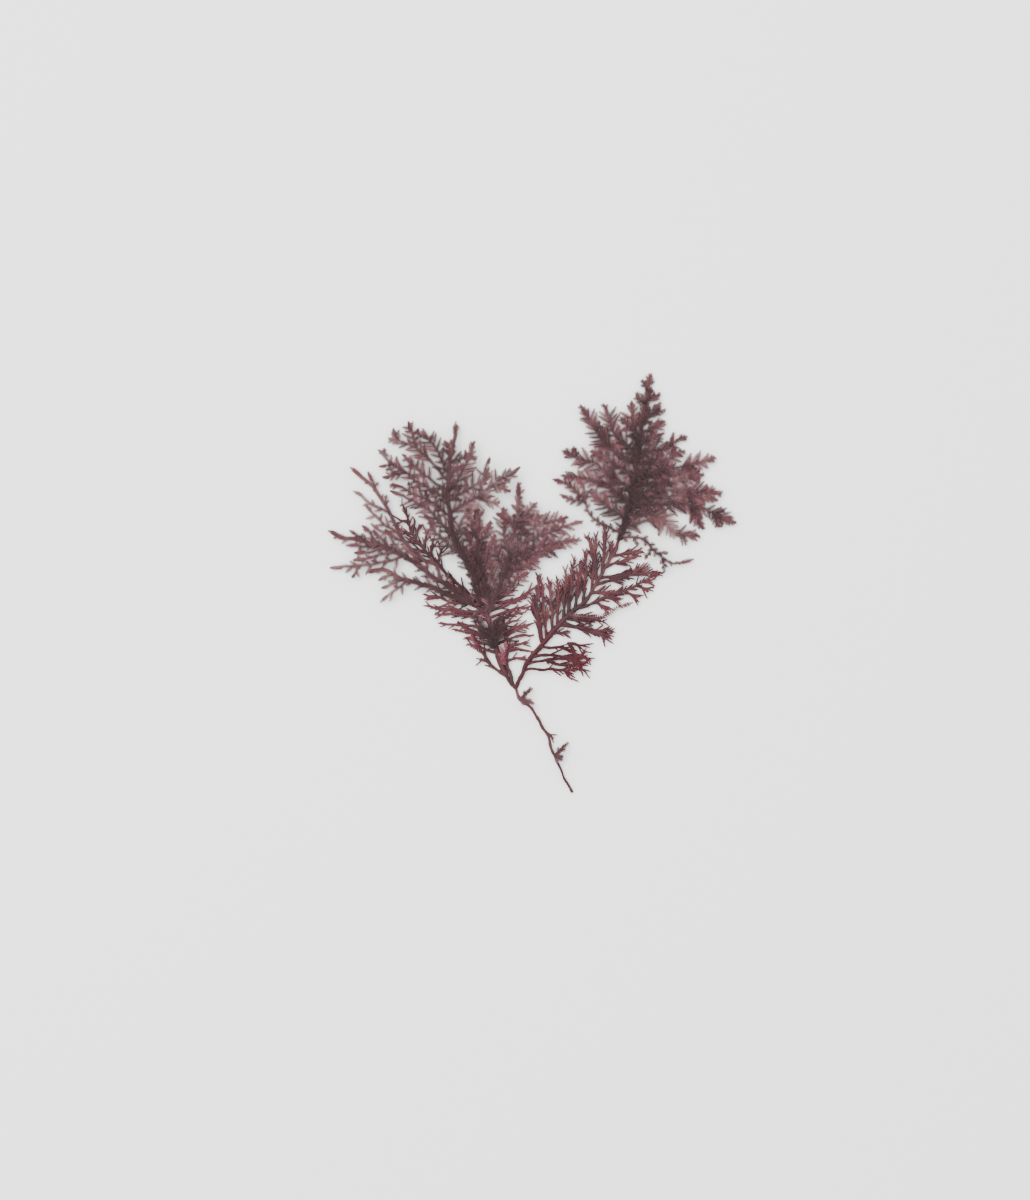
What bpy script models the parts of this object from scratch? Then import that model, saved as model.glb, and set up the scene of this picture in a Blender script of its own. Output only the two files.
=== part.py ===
"""A pressed red seaweed: a wiry, forked host stem that carries fine feathery fronds, lying flat.

Frame: the origin is on the flat underside of the stem where it forks, +Z is up, +Y runs from the cut end of the
stem towards the fronds and +X to the side of the taller plume. Plan sizes are in millimetres until a mesh is made.
"""

import cmath
import math
import random

import bmesh
import bpy
import numpy as np

MM = 0.001

# Driving dimensions, in millimetres
BLADE_THICKNESS = 0.6       # leaflets and side ribs
AXIS_THICKNESS = 0.9        # main ribs, which the side ribs are sunk in
LEAFLET_PITCH = 2.25        # length of rib that one pair of leaflets takes
LEAFLET_LENGTH = 2.9        # longest leaflet, at the middle of a side rib
TIP_LEAFLET_LENGTH = 1.0    # leaflets at a rib's tip, and all of them on the short twigs
HOST_LEAFLET = 2.0          # the host's short leaflets
HOST_PITCH = 2.2            # length of rib that one pair of the host's leaflets takes
SHORTEST_LEAFLET = 0.5      # below this a leaflet is left out
BARE_STALK = 7.0            # the fronds that grow side by side have bare stalks this long
TUFT_STALK = 2.0            # bare stalk of the tuft on the host's left arm
AXIS_STAGGER = 0.02         # each axis of a node lies this much above the one before it
LEAFLET_DROP = 0.2          # a leaflet's tip hangs up to this much below its rib
LEAFLET_LEAN = 50           # angle in degrees between a leaflet and its rib
CLEAR = 0.3                 # room between a leaflet and the next rib, and between two nodes
LIFT = (0.2, 0.5)           # a side rib lies this much above the underside of its axis
HOST_LIFT = (0.04, 0.3)
FOOT = 0.0                  # underside at the four places that the plant rests on
BELLY = 0.5                 # underside of the host between them
FREE_TIP = 0.6              # underside of a frond's free tips
LANE_1 = 1.8                # underside of a frond that lies on the host
LANE_2 = 3.3                # underside of the frond that lies on the others
FINE_STEP = 0.5             # spacing of the points on a smooth rib
TWIG_ANGLE = 42             # angle in degrees at which a twig leaves its rib
SEED = 11

# Half widths at root and tip, in millimetres: of the first axis, of the other axes and of the side ribs
FROND_WIDTHS = ((0.55, 0.25), (0.55, 0.25), (0.34, 0.2))
HOST_WIDTHS = ((0.45, 0.6), (0.7, 0.32), (0.36, 0.28))
CRIMSON_WIDTHS = ((0.4, 0.28), (0.4, 0.28), (0.3, 0.25))

# Plan of the plant. An axis is its points from root to tip, then its side ribs: each leaves the axis at a share
# of its length, ends at x, y and bows to its left by a share of its own length.
STIPE = [(16.0, -30.0), (12.0, -21.1), (9.7, -15.7), (7.1, -10.6), (4.3, -6.0), (1.4, -2.6), (0, 0), (-0.6, 1.0)]
HOST_PLAN = [
    (STIPE, [(0.52, 11.1, -14.3, 0)]),
    ([(0, 0), (1.4, 4.3), (4.3, 8.6), (11.4, 16.9), (19.7, 25.1), (23.1, 30.0), (26.0, 35.4), (30.3, 43.4)], [
        (0.27, 4.9, 25.7, 0), (0.285, 6.3, 32.6, 0.04), (0.32, 7.3, 29.6, 0), (0.365, 9.4, 30.9, 0),
        (0.405, 12.0, 31.4, 0), (0.445, 14.3, 33.7, 0), (0.485, 16.3, 37.1, 0), (0.53, 18.3, 36.3, 0),
        (0.59, 20.0, 38.9, 0), (0.665, 20.6, 43.7, -0.06), (0.715, 22.9, 43.7, 0.04), (0.77, 25.7, 46.0, 0),
        (0.84, 27.7, 42.0, 0), (0.35, 14.6, 15.7, 0), (0.415, 26.6, 14.9, 0.04), (0.43, 27.4, 16.3, -0.05),
        (0.46, 21.7, 18.6, 0.04), (0.49, 25.1, 18.9, 0.06), (0.53, 39.7, 32.3, -0.02), (0.655, 28.3, 27.4, 0),
        (0.70, 41.7, 32.9, 0.05), (0.74, 37.4, 34.6, -0.04), (0.81, 34.6, 37.4, 0), (0.88, 36.0, 39.4, -0.03)]),
    ([(0, 0), (-2.9, 3.1), (-4.9, 8.0), (-6.3, 13.1), (-7.4, 18.0), (-8.6, 22.9), (-9.7, 27.4), (-13.1, 36.6)], [
        (0.25, 4.6, 10.3, 0.18), (0.37, 5.1, 14.9, 0.08), (0.40, 5.7, 19.1, 0.03), (0.52, 3.1, 21.7, 0.04),
        (0.555, 4.9, 23.7, 0.03), (0.66, 6.6, 29.6, -0.08), (0.46, 1.4, 19.6, 0.04), (0.60, 3.4, 26.6, 0),
        (0.63, 0.3, 28.9, 0), (0.30, -11.7, 12.6, 0), (0.36, -15.1, 14.6, 0), (0.40, -15.1, 16.4, 0),
        (0.44, -18.6, 16.9, 0.03), (0.48, -22.0, 18.6, 0), (0.54, -23.4, 20.9, -0.03), (0.57, -21.1, 23.7, 0),
        (0.60, -26.6, 23.4, 0.02), (0.66, -26.6, 26.9, 0.05), (0.70, -19.7, 30.3, 0.03)]),
    ([(-2.9, 3.1), (-6.6, 6.0), (-9.4, 10.3), (-11.4, 14.0), (-16.6, 18.6)], [
        (0.35, -10.9, 7.7, 0), (0.55, -14.3, 12.6, 0)]),
    ([(-1.1, 1.5), (-2.4, 5.6), (-2.8, 10.0), (-2.7, 14.7), (-3.9, 20.2)], [
        (0.35, 2.9, 8.9, 0.05), (0.55, 3.7, 12.9, 0), (0.75, 2.0, 17.1, 0)]),
    ([(-9.1, 23.7), (-13.7, 27.4), (-18.9, 31.7), (-26.9, 40.3), (-29.7, 44.9), (-32.9, 53.1)], [
        (0.49, -28.6, 36.6, 0), (0.575, -30.3, 39.7, 0), (0.65, -32.0, 42.0, 0), (0.74, -32.6, 44.9, 0),
        (0.83, -33.7, 47.7, 0), (0.455, -20.9, 40.0, 0), (0.54, -23.4, 43.1, 0), (0.61, -25.4, 45.1, 0),
        (0.695, -27.4, 47.1, 0), (0.74, -29.1, 48.3, 0)]),
    ([(-8.6, 21.7), (-13.7, 24.3), (-18.9, 26.9), (-24.0, 28.6), (-30.9, 30.6)], []),
]
HOST_TWIGS = [(24.9, 13.7), (26.0, 22.6), (38.3, 28.0), (38.9, 29.7), (34.6, 26.0), (29.1, 25.1), (-25.4, 25.1),
              (-23.4, 22.3)]
CRIMSON_PLAN = [
    ([(6.0, 11.2), (8.1, 11.7), (12.1, 12.0), (15.9, 10.8), (17.9, 9.4), (21.7, 8.0)], []),
    ([(4.2, 8.5), (6.5, 9.2), (9.7, 9.6), (12.9, 9.3), (15.9, 8.8), (18.5, 9.6), (20.3, 10.4)], []),
    ([(3.0, 6.8), (4.9, 7.4), (8.1, 7.9), (12.9, 8.6), (16.9, 7.6), (20.9, 7.4)], []),
    ([(1.9, 5.2), (3.5, 5.7), (6.9, 5.3), (9.9, 5.1), (13.5, 5.1), (18.7, 5.2)], []),
    ([(14.9, 13.4), (16.4, 11.2), (16.9, 9.4), (17.3, 7.0), (18.7, 5.4), (20.3, 4.0)], []),
    ([(15.2, 13.0), (16.9, 12.8), (18.7, 11.2)], []),
    ([(8.6, 8.0), (10.3, 7.4), (12.9, 6.8), (15.9, 6.4), (19.9, 6.6)], []),
    ([(12.9, 5.2), (13.9, 4.9), (16.1, 2.5)], []),
]
CRIMSON_TWIGS = [(18.9, 12.4), (11.9, 10.9), (9.7, 6.6)]
LEFT_PLUME_PLAN = [
    ([(-9.4, 23.6), (-11.2, 28.6), (-13.4, 34.3), (-16.0, 39.4), (-18.0, 45.1), (-19.1, 50.9), (-19.1, 56.6),
      (-18.9, 62.3), (-18.0, 68.6), (-16.9, 76.0)], [
        (0.28, -26.3, 49.7, 0.05), (0.385, -36.0, 56.3, -0.08), (0.495, -36.0, 58.3, -0.05),
        (0.575, -39.4, 67.7, 0.03), (0.62, -32.6, 66.6, 0.03), (0.675, -36.3, 71.7, -0.1), (0.73, -26.6, 74.0, 0),
        (0.80, -20.4, 70.6, -0.1), (0.385, -12.6, 52.3, 0), (0.51, 1.1, 62.3, 0), (0.575, -6.9, 60.3, 0),
        (0.63, -12.0, 70.0, -0.08), (0.71, -15.1, 63.6, 0), (0.79, -12.6, 66.6, 0)]),
]
LEFT_PLUME_TWIGS = [(-30.9, 76.3), (-34.6, 74.3), (-32.3, 69.4), (-29.1, 72.6), (-24.0, 72.0), (-37.4, 68.0),
                    (-39.1, 63.1), (-38.3, 60.0), (-7.7, 65.4), (-7.4, 62.6), (-10.9, 64.9), (-4.6, 60.3),
                    (-1.4, 58.6), (-1.7, 55.7), (-4.6, 52.6)]
MIDDLE_PLAN = [
    ([(-8.2, 21.2), (-5.4, 26.6), (-3.4, 31.7), (-2.0, 37.1), (-0.9, 42.3), (0, 47.4), (0.6, 52.9), (0.9, 58.9)], [
        (0.17, 4.0, 33.1, 0), (0.285, 7.7, 37.7, 0), (0.385, 13.1, 40.6, 0.03), (0.455, 18.4, 42.1, 0.06),
        (0.515, 19.0, 47.5, 0.03), (0.59, 15.1, 48.6, 0.05), (0.65, 7.7, 49.4, 0), (0.71, 6.0, 53.1, -0.05),
        (0.785, 2.3, 52.3, 0), (0.17, -7.4, 38.0, 0.04), (0.32, -6.3, 43.7, 0.04), (0.475, -3.1, 51.7, 0.1),
        (0.67, -5.4, 49.7, 0)]),
    ([(-7.3, 22.6), (-8.0, 26.1), (-9.5, 31.7), (-10.6, 38.6), (-10.9, 45.1), (-10.9, 51.7)], [
        (0.27, -15.1, 40.9, 0), (0.46, -14.9, 46.0, 0), (0.675, -13.7, 50.3, 0), (0.36, -6.6, 42.3, 0),
        (0.57, -6.9, 47.4, 0), (0.83, -8.9, 50.6, 0)]),
]
LEFT_OUTER_PLAN = [
    ([(-21.0, 30.4), (-22.9, 34.9), (-28.0, 37.7), (-32.0, 42.3), (-34.6, 46.9), (-36.9, 51.4), (-39.4, 55.7),
      (-42.9, 59.4), (-47.1, 63.1)], [
        (0.37, -41.4, 46.9, 0.05), (0.41, -43.1, 52.3, 0.04), (0.595, -46.3, 56.0, 0.04), (0.775, -42.0, 61.7, 0),
        (0.65, -37.1, 55.1, 0)]),
    ([(-12.4, 24.0), (-19.4, 29.4), (-26.0, 33.7), (-32.6, 37.7), (-37.4, 40.3), (-43.1, 42.0), (-48.6, 42.9),
      (-53.7, 44.6)], [
        (0.34, -32.6, 40.9, 0), (0.49, -37.4, 45.1, 0), (0.585, -40.6, 45.4, 0), (0.665, -44.0, 46.6, -0.06),
        (0.775, -47.4, 45.1, 0), (0.51, -53.1, 34.0, 0.03), (0.565, -46.3, 36.6, 0), (0.61, -46.0, 38.6, 0),
        (0.665, -48.6, 40.6, 0)]),
    ([(-12.4, 24.0), (-19.4, 26.9), (-25.1, 28.9), (-30.9, 30.6), (-34.6, 32.9), (-38.9, 34.0), (-42.3, 32.9)], [
        (0.59, -38.6, 24.9, -0.04), (0.66, -38.0, 28.3, 0), (0.745, -38.9, 30.6, 0)]),
]
LEFT_OUTER_TWIGS = [(-46.6, 31.4)]
RIGHT_PLUME_PLAN = [
    ([(29.7, 42.0), (31.1, 47.4), (32.6, 53.7), (33.7, 60.0), (34.6, 66.6), (35.4, 73.1), (36.6, 79.4), (37.7, 85.1),
      (38.9, 90.0)], [
        (0.08, 42.6, 47.7, 0.05), (0.155, 46.0, 43.3, 0.2), (0.20, 63.1, 47.1, 0.1), (0.245, 57.7, 53.4, 0.05),
        (0.29, 58.6, 55.4, 0.04), (0.335, 53.7, 61.4, -0.06), (0.375, 52.3, 62.0, 0), (0.41, 57.1, 65.4, -0.03),
        (0.445, 48.3, 67.7, -0.05), (0.51, 48.9, 71.7, -0.05), (0.57, 42.3, 72.9, 0), (0.63, 42.6, 76.0, 0),
        (0.69, 41.4, 80.9, 0), (0.83, 41.1, 83.4, 0.1), (0.86, 38.9, 85.1, 0), (0.125, 21.1, 56.3, 0.04),
        (0.215, 12.9, 60.6, -0.13), (0.30, 13.4, 67.7, -0.06), (0.375, 21.1, 67.7, -0.05), (0.445, 18.6, 80.6, 0.1),
        (0.51, 25.1, 81.1, 0.1), (0.56, 32.9, 81.7, 0.03), (0.60, 29.7, 77.1, 0), (0.815, 34.3, 84.0, 0.1),
        (0.885, 36.3, 87.4, 0)]),
    ([(30.2, 44.0), (25.1, 46.6), (21.7, 48.9), (20.0, 51.7), (19.4, 55.1), (18.6, 58.0), (17.1, 59.4)], [
        (0.72, 10.6, 59.7, -0.05), (0.66, 12.6, 54.9, 0.03), (0.75, 22.0, 56.6, 0)]),
    ([(29.9, 42.6), (34.9, 43.1), (37.7, 41.7), (39.7, 38.6), (43.1, 36.0), (46.9, 35.7), (50.6, 36.6)], [
        (0.55, 43.4, 38.6, 0), (0.15, 34.3, 41.1, 0), (0.45, 36.9, 36.6, 0), (0.62, 42.6, 33.1, 0)]),
]
RIGHT_PLUME_TWIGS = [(20.0, 76.9), (21.4, 75.1), (23.4, 75.7), (16.6, 68.3), (44.9, 72.0), (42.3, 78.6), (54.6, 57.4),
                     (58.9, 50.9), (57.7, 46.0), (53.4, 45.1), (52.3, 43.4)]
UPPER_STEM_PLAN = [([(1.7, -2.9), (5.1, 0)], []), ([(1.7, -2.9), (5.4, -4.6)], [])]
LOWER_STEM_PLAN = [([(11.1, -18.9), (14.6, -15.4)], []), ([(11.1, -18.9), (13.4, -20.0)], [])]
LEFT_ROSE_PLAN = [([(-10.3, 11.4), (-12.9, 14.6)], []), ([(-10.3, 11.4), (-12.3, 12.0)], [])]
RIGHT_ROSE_PLAN = [([(-3.9, 6.6), (-4.6, 12.3)], []), ([(-3.9, 6.6), (-2.9, 13.7)], [])]
STEM_TUFT_PLAN = [
    ([(-6.5, 11.9), (-7.1, 15.0), (-7.6, 18.9)], [
        (0.30, -11.0, 17.4, 0), (0.62, -11.9, 20.3, 0.03), (0.36, -2.9, 17.7, 0), (0.66, -3.7, 20.6, -0.03)]),
]
TIP_SPRIG_PLAN = [([(15.6, 21.0), (20.0, 20.4), (24.0, 20.6), (28.3, 22.6), (32.9, 24.6)], [])]

# How a frond lies: pairs of distance from the root of an axis and height of its underside, one list for each axis.
# The plant rests on four low spots round its weight: the stem's cut end, its fork and the tips of two fronds.
HOST_LIE = [
    [(0, FOOT), (5.0, BELLY), (26.0, BELLY), (30.5, FOOT)],
    [(0, FOOT), (5.0, BELLY)],
    [(0, FOOT), (5.0, BELLY)],
] + [[(0, BELLY)]] * 4
CRIMSON_LIE = [[(0, LANE_1), (4.0, LANE_1), (8.0, FREE_TIP)]] * 4 + [[(0, FREE_TIP)]] * 4
LEFT_PLUME_LIE = [[(0, LANE_1), (1.5, LANE_1), (8.0, LANE_2), (38.0, LANE_2), (56.0, FREE_TIP)]]
MIDDLE_LIE = [[(0, LANE_1), (14.0, LANE_1), (30.0, FREE_TIP + 0.9)]] * 2
LEFT_OUTER_LIE = [
    [(0, LANE_1), (22.0, LANE_1), (36.0, FREE_TIP)],
    [(0, LANE_1), (28.0, LANE_1), (40.0, FREE_TIP), (42.0, FREE_TIP), (45.5, FOOT)],
    [(0, LANE_1), (20.0, LANE_1), (30.0, FREE_TIP)],
]
RIGHT_PLUME_LIE = [
    [(0, LANE_1), (8.0, LANE_1), (22.0, FREE_TIP), (44.5, FREE_TIP), (48.5, FOOT)],
    [(0, LANE_1), (8.0, LANE_1), (22.0, FREE_TIP)],
    [(0, LANE_1), (16.0, LANE_1), (21.0, FREE_TIP)],
]
SPRIG_LIE = [[(0, LANE_1), (2.0, LANE_1), (5.0, FREE_TIP + 0.4)]] * 2
FLAT_SPRIG_LIE = [[(0, LANE_1)]] * 2
TUFT_LIE = [[(0, LANE_1)]]

# Colour, roughness of each finish
FROND_PURPLE = ((0.16, 0.075, 0.085), 0.62)
FROND_ROSE = ((0.33, 0.11, 0.15), 0.6)
HOST_BROWN = ((0.19, 0.035, 0.04), 0.5)
CRIMSON_RED = ((0.14, 0.01, 0.022), 0.45)


class Rib:
    """One rib of the plan: its smooth path, what it grew from and how it lies."""

    def __init__(self, path, parent, lie, origin):
        self.path = path
        self.parent = parent
        self.order = 0 if parent is None else parent.order + 1
        self.lie = lie
        self.origin = origin
        self.length = sum(abs(q - p) for p, q in zip(path, path[1:]))


def smooth(points, step):
    """Evenly spaced points on a smooth curve through the given ones, as complex numbers."""
    known = [complex(*p) if isinstance(p, tuple) else p for p in points]
    ends = [2 * known[0] - known[1]] + known + [2 * known[-1] - known[-2]]
    fine = []
    for a, b, c, d in zip(ends, ends[1:], ends[2:], ends[3:]):
        for k in range(20):
            t = k / 20
            fine.append(b + t * ((c - a) / 2 + t * ((a - 2.5 * b + 2 * c - d / 2) + t * (1.5 * (b - c) + (d - a) / 2))))
    fine.append(known[-1])
    return evenly(fine, step)


def evenly(path, step):
    """The same path with its points about one step apart."""
    walked = np.concatenate(([0.0], np.cumsum(np.abs(np.diff(path)))))
    count = max(1, round(walked[-1] / step))
    places = np.linspace(0.0, walked[-1], count + 1)
    across = np.interp(places, walked, np.real(path))
    along = np.interp(places, walked, np.imag(path))
    return [complex(x, y) for x, y in zip(across, along)]


def bowed(root, tip, bow):
    return smooth([root, (root + tip) / 2 + 1j * bow * (tip - root), tip], FINE_STEP)


def bend(a, b):
    """Angle in degrees from direction a to direction b, positive to the left."""
    return math.degrees(cmath.phase(b / a))


def grow(plan, lies, twigs):
    """All ribs of a frond. A twig springs from the side rib that it meets at the most natural angle."""
    ribs = []
    for (points, sides), lie in zip(plan, lies):
        axis = Rib(smooth(points, FINE_STEP), None, lie, complex(*points[0]))
        ribs.append(axis)
        for station, x, y, bow in sides:
            root = axis.path[round(station * (len(axis.path) - 1))]
            ribs.append(Rib(bowed(root, complex(x, y), bow), axis, lie, axis.origin))
    bearers = [rib for rib in ribs if rib.order == 1] or list(ribs)
    for place in twigs:
        tip = complex(*place)
        best = None
        for rib in bearers:
            for k in range(1, int(len(rib.path) * 0.93)):
                reach = tip - rib.path[k]
                off = abs(bend(rib.path[k] - rib.path[k - 1], reach))
                cost = abs(reach) * (1 + ((off - TWIG_ANGLE) / 25) ** 2)
                if best is None or cost < best[0]:
                    best = (cost, rib, k)
        _, rib, k = best
        ribs.append(Rib(bowed(rib.path[k], tip, 0), rib, rib.lie, rib.origin))
    return ribs


def height(lie, reach):
    """Height of the underside at a distance from the root, eased between the pairs of the list."""
    for (near, low), (far, high) in zip(lie, lie[1:]):
        if reach < far:
            t = max(0.0, (reach - near) / (far - near))
            return low + (high - low) * t * t * (3 - 2 * t)
    return lie[-1][1]


def leaflet_length(rib, share):
    """Wanted length of a leaflet at a share of its rib: short at the root, longest midway, short at the tip."""
    longest = min(LEAFLET_LENGTH, TIP_LEAFLET_LENGTH + 0.1 * rib.length)
    swell = math.sin(math.pi * min(1.0, 0.25 + 0.85 * share)) ** 0.8
    return TIP_LEAFLET_LENGTH + (longest - TIP_LEAFLET_LENGTH) * swell


def clipped(root, way, length, half_width, others):
    """A leaflet's length, cut so that its tip stays nearer to its own rib than to any other."""
    sideways = abs(math.sin(math.radians(LEAFLET_LEAN)))
    while length >= SHORTEST_LEAFLET:
        tip = root + way * length
        gap = np.min(np.abs(others - tip)) if len(others) else math.inf
        if gap > length * sideways + half_width + CLEAR:
            return length
        length *= 0.85
    return 0.0


def leaflets(rib, path, half_widths, others, wanted, bare):
    """The leaflet tips of a rib: one for each interval and side, or None on the bare stalk and where there is no room."""
    tips = {}
    lean = cmath.exp(1j * math.radians(LEAFLET_LEAN))
    for k in range(len(path) - 2):
        heading = (path[k + 1] - path[k]) / abs(path[k + 1] - path[k])
        for side in (1, -1):
            base = (path[k] + path[k + 1]) / 2 + 1j * side * heading * half_widths[k]
            way = heading * (lean if side == 1 else lean.conjugate())
            length = clipped(base, way, wanted(rib, (k + 0.5) / (len(path) - 1)), half_widths[k], others)
            grown = length > 0 and abs(base - rib.origin) > bare
            tips[k, side] = base + way * length if grown else None
    return tips


def blade(name, rib, pitch, widths, thickness, lift, others, wanted, bare):
    """A closed plate with a pointed end and its leaflets cut to the rib, split alike on both faces."""
    leaflet_drop = min(LEAFLET_DROP, lift)
    path = evenly(rib.path, pitch)
    if len(path) < 4:
        path = evenly(rib.path, rib.length / 3)
    last = len(path) - 1
    half_widths = [widths[0] + (widths[1] - widths[0]) * k / last for k in range(last + 1)]
    tips = leaflets(rib, path, half_widths, others, wanted, bare)
    corners, faces, left_rim, right_rim = [], [], [], []

    def corner(place, drop=0.0):
        level = height(rib.lie, abs(place - rib.origin)) + lift - drop
        corners.append((place.real, place.imag, level))
        return len(corners) - 1

    for k in range(last):
        ahead = path[k + 1] - path[max(k - 1, 0)]
        across = 1j * ahead / abs(ahead) * half_widths[k]
        left_rim.append(corner(path[k] + across))
        right_rim.append(corner(path[k] - across))
    tip = corner(path[last], leaflet_drop / 2)
    outline = [right_rim[0]]
    homeward = []
    for k in range(last - 1):
        right, right_next, left, left_next = right_rim[k], right_rim[k + 1], left_rim[k], left_rim[k + 1]
        faces += [(right, right_next, left_next), (right, left_next, left)]
        if tips[k, -1] is not None:
            point = corner(tips[k, -1], leaflet_drop)
            faces.append((right_next, right, point))
            outline.append(point)
        outline.append(right_next)
        homeward.append(left)
        if tips[k, 1] is not None:
            point = corner(tips[k, 1], leaflet_drop)
            faces.append((left, left_next, point))
            homeward.append(point)
    faces.append((right_rim[-1], tip, left_rim[-1]))
    outline += [tip, left_rim[-1]] + homeward[::-1]
    return plate(name, corners, faces, outline, thickness)


def plate(name, corners, faces, outline, thickness):
    """An object from the triangles of its upper face, with the same triangles below and a wall round the outline."""
    mesh = bmesh.new()
    low = [mesh.verts.new((x * MM, y * MM, z * MM)) for x, y, z in corners]
    high = [mesh.verts.new((x * MM, y * MM, (z + thickness) * MM)) for x, y, z in corners]
    for a, b, c in faces:
        mesh.faces.new((high[a], high[b], high[c]))
        mesh.faces.new((low[c], low[b], low[a]))
    for a, b in zip(outline, outline[1:] + outline[:1]):
        mesh.faces.new((low[a], low[b], high[b], high[a]))
    data = bpy.data.meshes.new(name)
    mesh.to_mesh(data)
    mesh.free()
    piece = bpy.data.objects.new(name, data)
    bpy.context.scene.collection.objects.link(piece)
    return piece


def fused(name, pieces):
    """One object from overlapping pieces, by one union on their collection."""
    body = pieces[0]
    body.name = name
    if len(pieces) > 1:
        group = bpy.data.collections.new(name + "_pieces")
        bpy.context.scene.collection.children.link(group)
        for piece in pieces[1:]:
            bpy.context.scene.collection.objects.unlink(piece)
            group.objects.link(piece)
        union = body.modifiers.new("Union", "BOOLEAN")
        union.operation = "UNION"
        union.operand_type = "COLLECTION"
        union.collection = group
        union.solver = "MANIFOLD"
        bpy.context.view_layer.objects.active = body
        bpy.ops.object.modifier_apply(modifier=union.name)
        for piece in pieces[1:]:
            bpy.data.objects.remove(piece)
        bpy.data.collections.remove(group)
    return body


def material(name, finish):
    colour, roughness = finish
    made = bpy.data.materials.new(name)
    made.use_nodes = True
    shader = made.node_tree.nodes["Principled BSDF"]
    shader.inputs["Base Color"].default_value = (*colour, 1.0)
    shader.inputs["Roughness"].default_value = roughness
    shader.inputs["Metallic"].default_value = 0.0
    return made


def feathery_frond(name, plan, lies, twigs, finish, bare=0.0):
    """A frond of ribs with leaflets on both sides, beyond a bare stalk of the given length."""
    return frond(name, plan, lies, twigs, finish, LEAFLET_PITCH, FROND_WIDTHS, LIFT, leaflet_length, bare)


def host_leaflet(rib, share):
    """The host is bare but for short leaflets on the outer part of its side ribs."""
    return HOST_LEAFLET if rib.order and share > 0.36 and rib.length > 5 else 0.0


def bare_frond(name, plan, lies, twigs, finish, widths):
    """A frond of bare, flattened ribs."""
    return frond(name, plan, lies, twigs, finish, HOST_PITCH, widths, HOST_LIFT, host_leaflet, 0.0)


def frond(name, plan, lies, twigs, finish, pitch, widths, lifts, wanted, bare):
    """One node: the blades of all its ribs, each at its own level in the frond's thickness."""
    draw = random.Random(f"{SEED} {name}")
    ribs = grow(plan, lies, twigs)
    axes = [rib for rib in ribs if rib.order == 0]
    blades = []
    for number, rib in enumerate(ribs):
        others = np.array([p for other in ribs if other is not rib for p in other.path])
        thickness = AXIS_THICKNESS if rib.order == 0 else BLADE_THICKNESS
        lift = AXIS_STAGGER * axes.index(rib) if rib.order == 0 else draw.uniform(*lifts)
        half_widths = widths[0] if number == 0 else widths[1 + min(rib.order, 1)]
        blades.append(blade(f"{name}_{number}", rib, pitch, half_widths, thickness, lift, others, wanted, bare))
    body = fused(name, blades)
    body.data.materials.clear()
    body.data.materials.append(material(name, finish))
    return body


def main():
    for thing in list(bpy.data.objects):
        bpy.data.objects.remove(thing)
    bare_frond("host_stem", HOST_PLAN, HOST_LIE, HOST_TWIGS, HOST_BROWN, HOST_WIDTHS)
    bare_frond("crimson_spray", CRIMSON_PLAN, CRIMSON_LIE, CRIMSON_TWIGS, CRIMSON_RED, CRIMSON_WIDTHS)
    feathery_frond("left_plume", LEFT_PLUME_PLAN, LEFT_PLUME_LIE, LEFT_PLUME_TWIGS, FROND_PURPLE, BARE_STALK)
    feathery_frond("middle_frond", MIDDLE_PLAN, MIDDLE_LIE, [], FROND_PURPLE, BARE_STALK)
    feathery_frond("left_outer_frond", LEFT_OUTER_PLAN, LEFT_OUTER_LIE, LEFT_OUTER_TWIGS, FROND_PURPLE, BARE_STALK)
    feathery_frond("right_plume", RIGHT_PLUME_PLAN, RIGHT_PLUME_LIE, RIGHT_PLUME_TWIGS, FROND_PURPLE)
    feathery_frond("stem_tuft", STEM_TUFT_PLAN, TUFT_LIE, [], FROND_PURPLE, TUFT_STALK)
    feathery_frond("tip_sprig", TIP_SPRIG_PLAN, FLAT_SPRIG_LIE, [], FROND_PURPLE)
    feathery_frond("upper_stem_sprig", UPPER_STEM_PLAN, SPRIG_LIE, [], FROND_PURPLE)
    feathery_frond("lower_stem_sprig", LOWER_STEM_PLAN, SPRIG_LIE, [], FROND_PURPLE)
    feathery_frond("left_rose_sprig", LEFT_ROSE_PLAN, FLAT_SPRIG_LIE, [], FROND_ROSE)
    feathery_frond("right_rose_sprig", RIGHT_ROSE_PLAN, FLAT_SPRIG_LIE, [], FROND_ROSE)


main()
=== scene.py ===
# %% [markdown]
# # A pressed red seaweed
#
# The object is a dried seaweed, pressed flat: a wiry, wine-red host plant that forks once, and on it the
# finely feathered fronds of a second seaweed, Dasyclonium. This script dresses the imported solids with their
# fine surface. Each frond of the frame is replaced by a piece with ribs, side branches and combs of tiny
# branchlets, and it stays where its solid lies.

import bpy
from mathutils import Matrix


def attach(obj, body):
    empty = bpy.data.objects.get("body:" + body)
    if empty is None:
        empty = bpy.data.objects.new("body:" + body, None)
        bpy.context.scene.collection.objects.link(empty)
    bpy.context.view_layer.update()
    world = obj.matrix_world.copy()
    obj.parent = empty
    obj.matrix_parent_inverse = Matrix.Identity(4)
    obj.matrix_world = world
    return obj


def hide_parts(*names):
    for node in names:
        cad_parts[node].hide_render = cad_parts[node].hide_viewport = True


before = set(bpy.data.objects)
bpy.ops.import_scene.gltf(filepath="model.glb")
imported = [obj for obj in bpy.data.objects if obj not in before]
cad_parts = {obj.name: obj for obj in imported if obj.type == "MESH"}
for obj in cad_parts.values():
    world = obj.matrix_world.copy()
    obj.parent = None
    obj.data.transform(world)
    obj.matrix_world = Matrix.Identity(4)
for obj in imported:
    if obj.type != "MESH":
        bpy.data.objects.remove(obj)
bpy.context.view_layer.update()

# %% [markdown]
# Blender works in metres, and this plant is measured in millimetres, so every length is written in
# millimetres and multiplied by MM where a mesh or a light is made. The operators act on all that is
# selected, and loading leaves the solids selected, so `start_fresh` comes before each new primitive.

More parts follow.
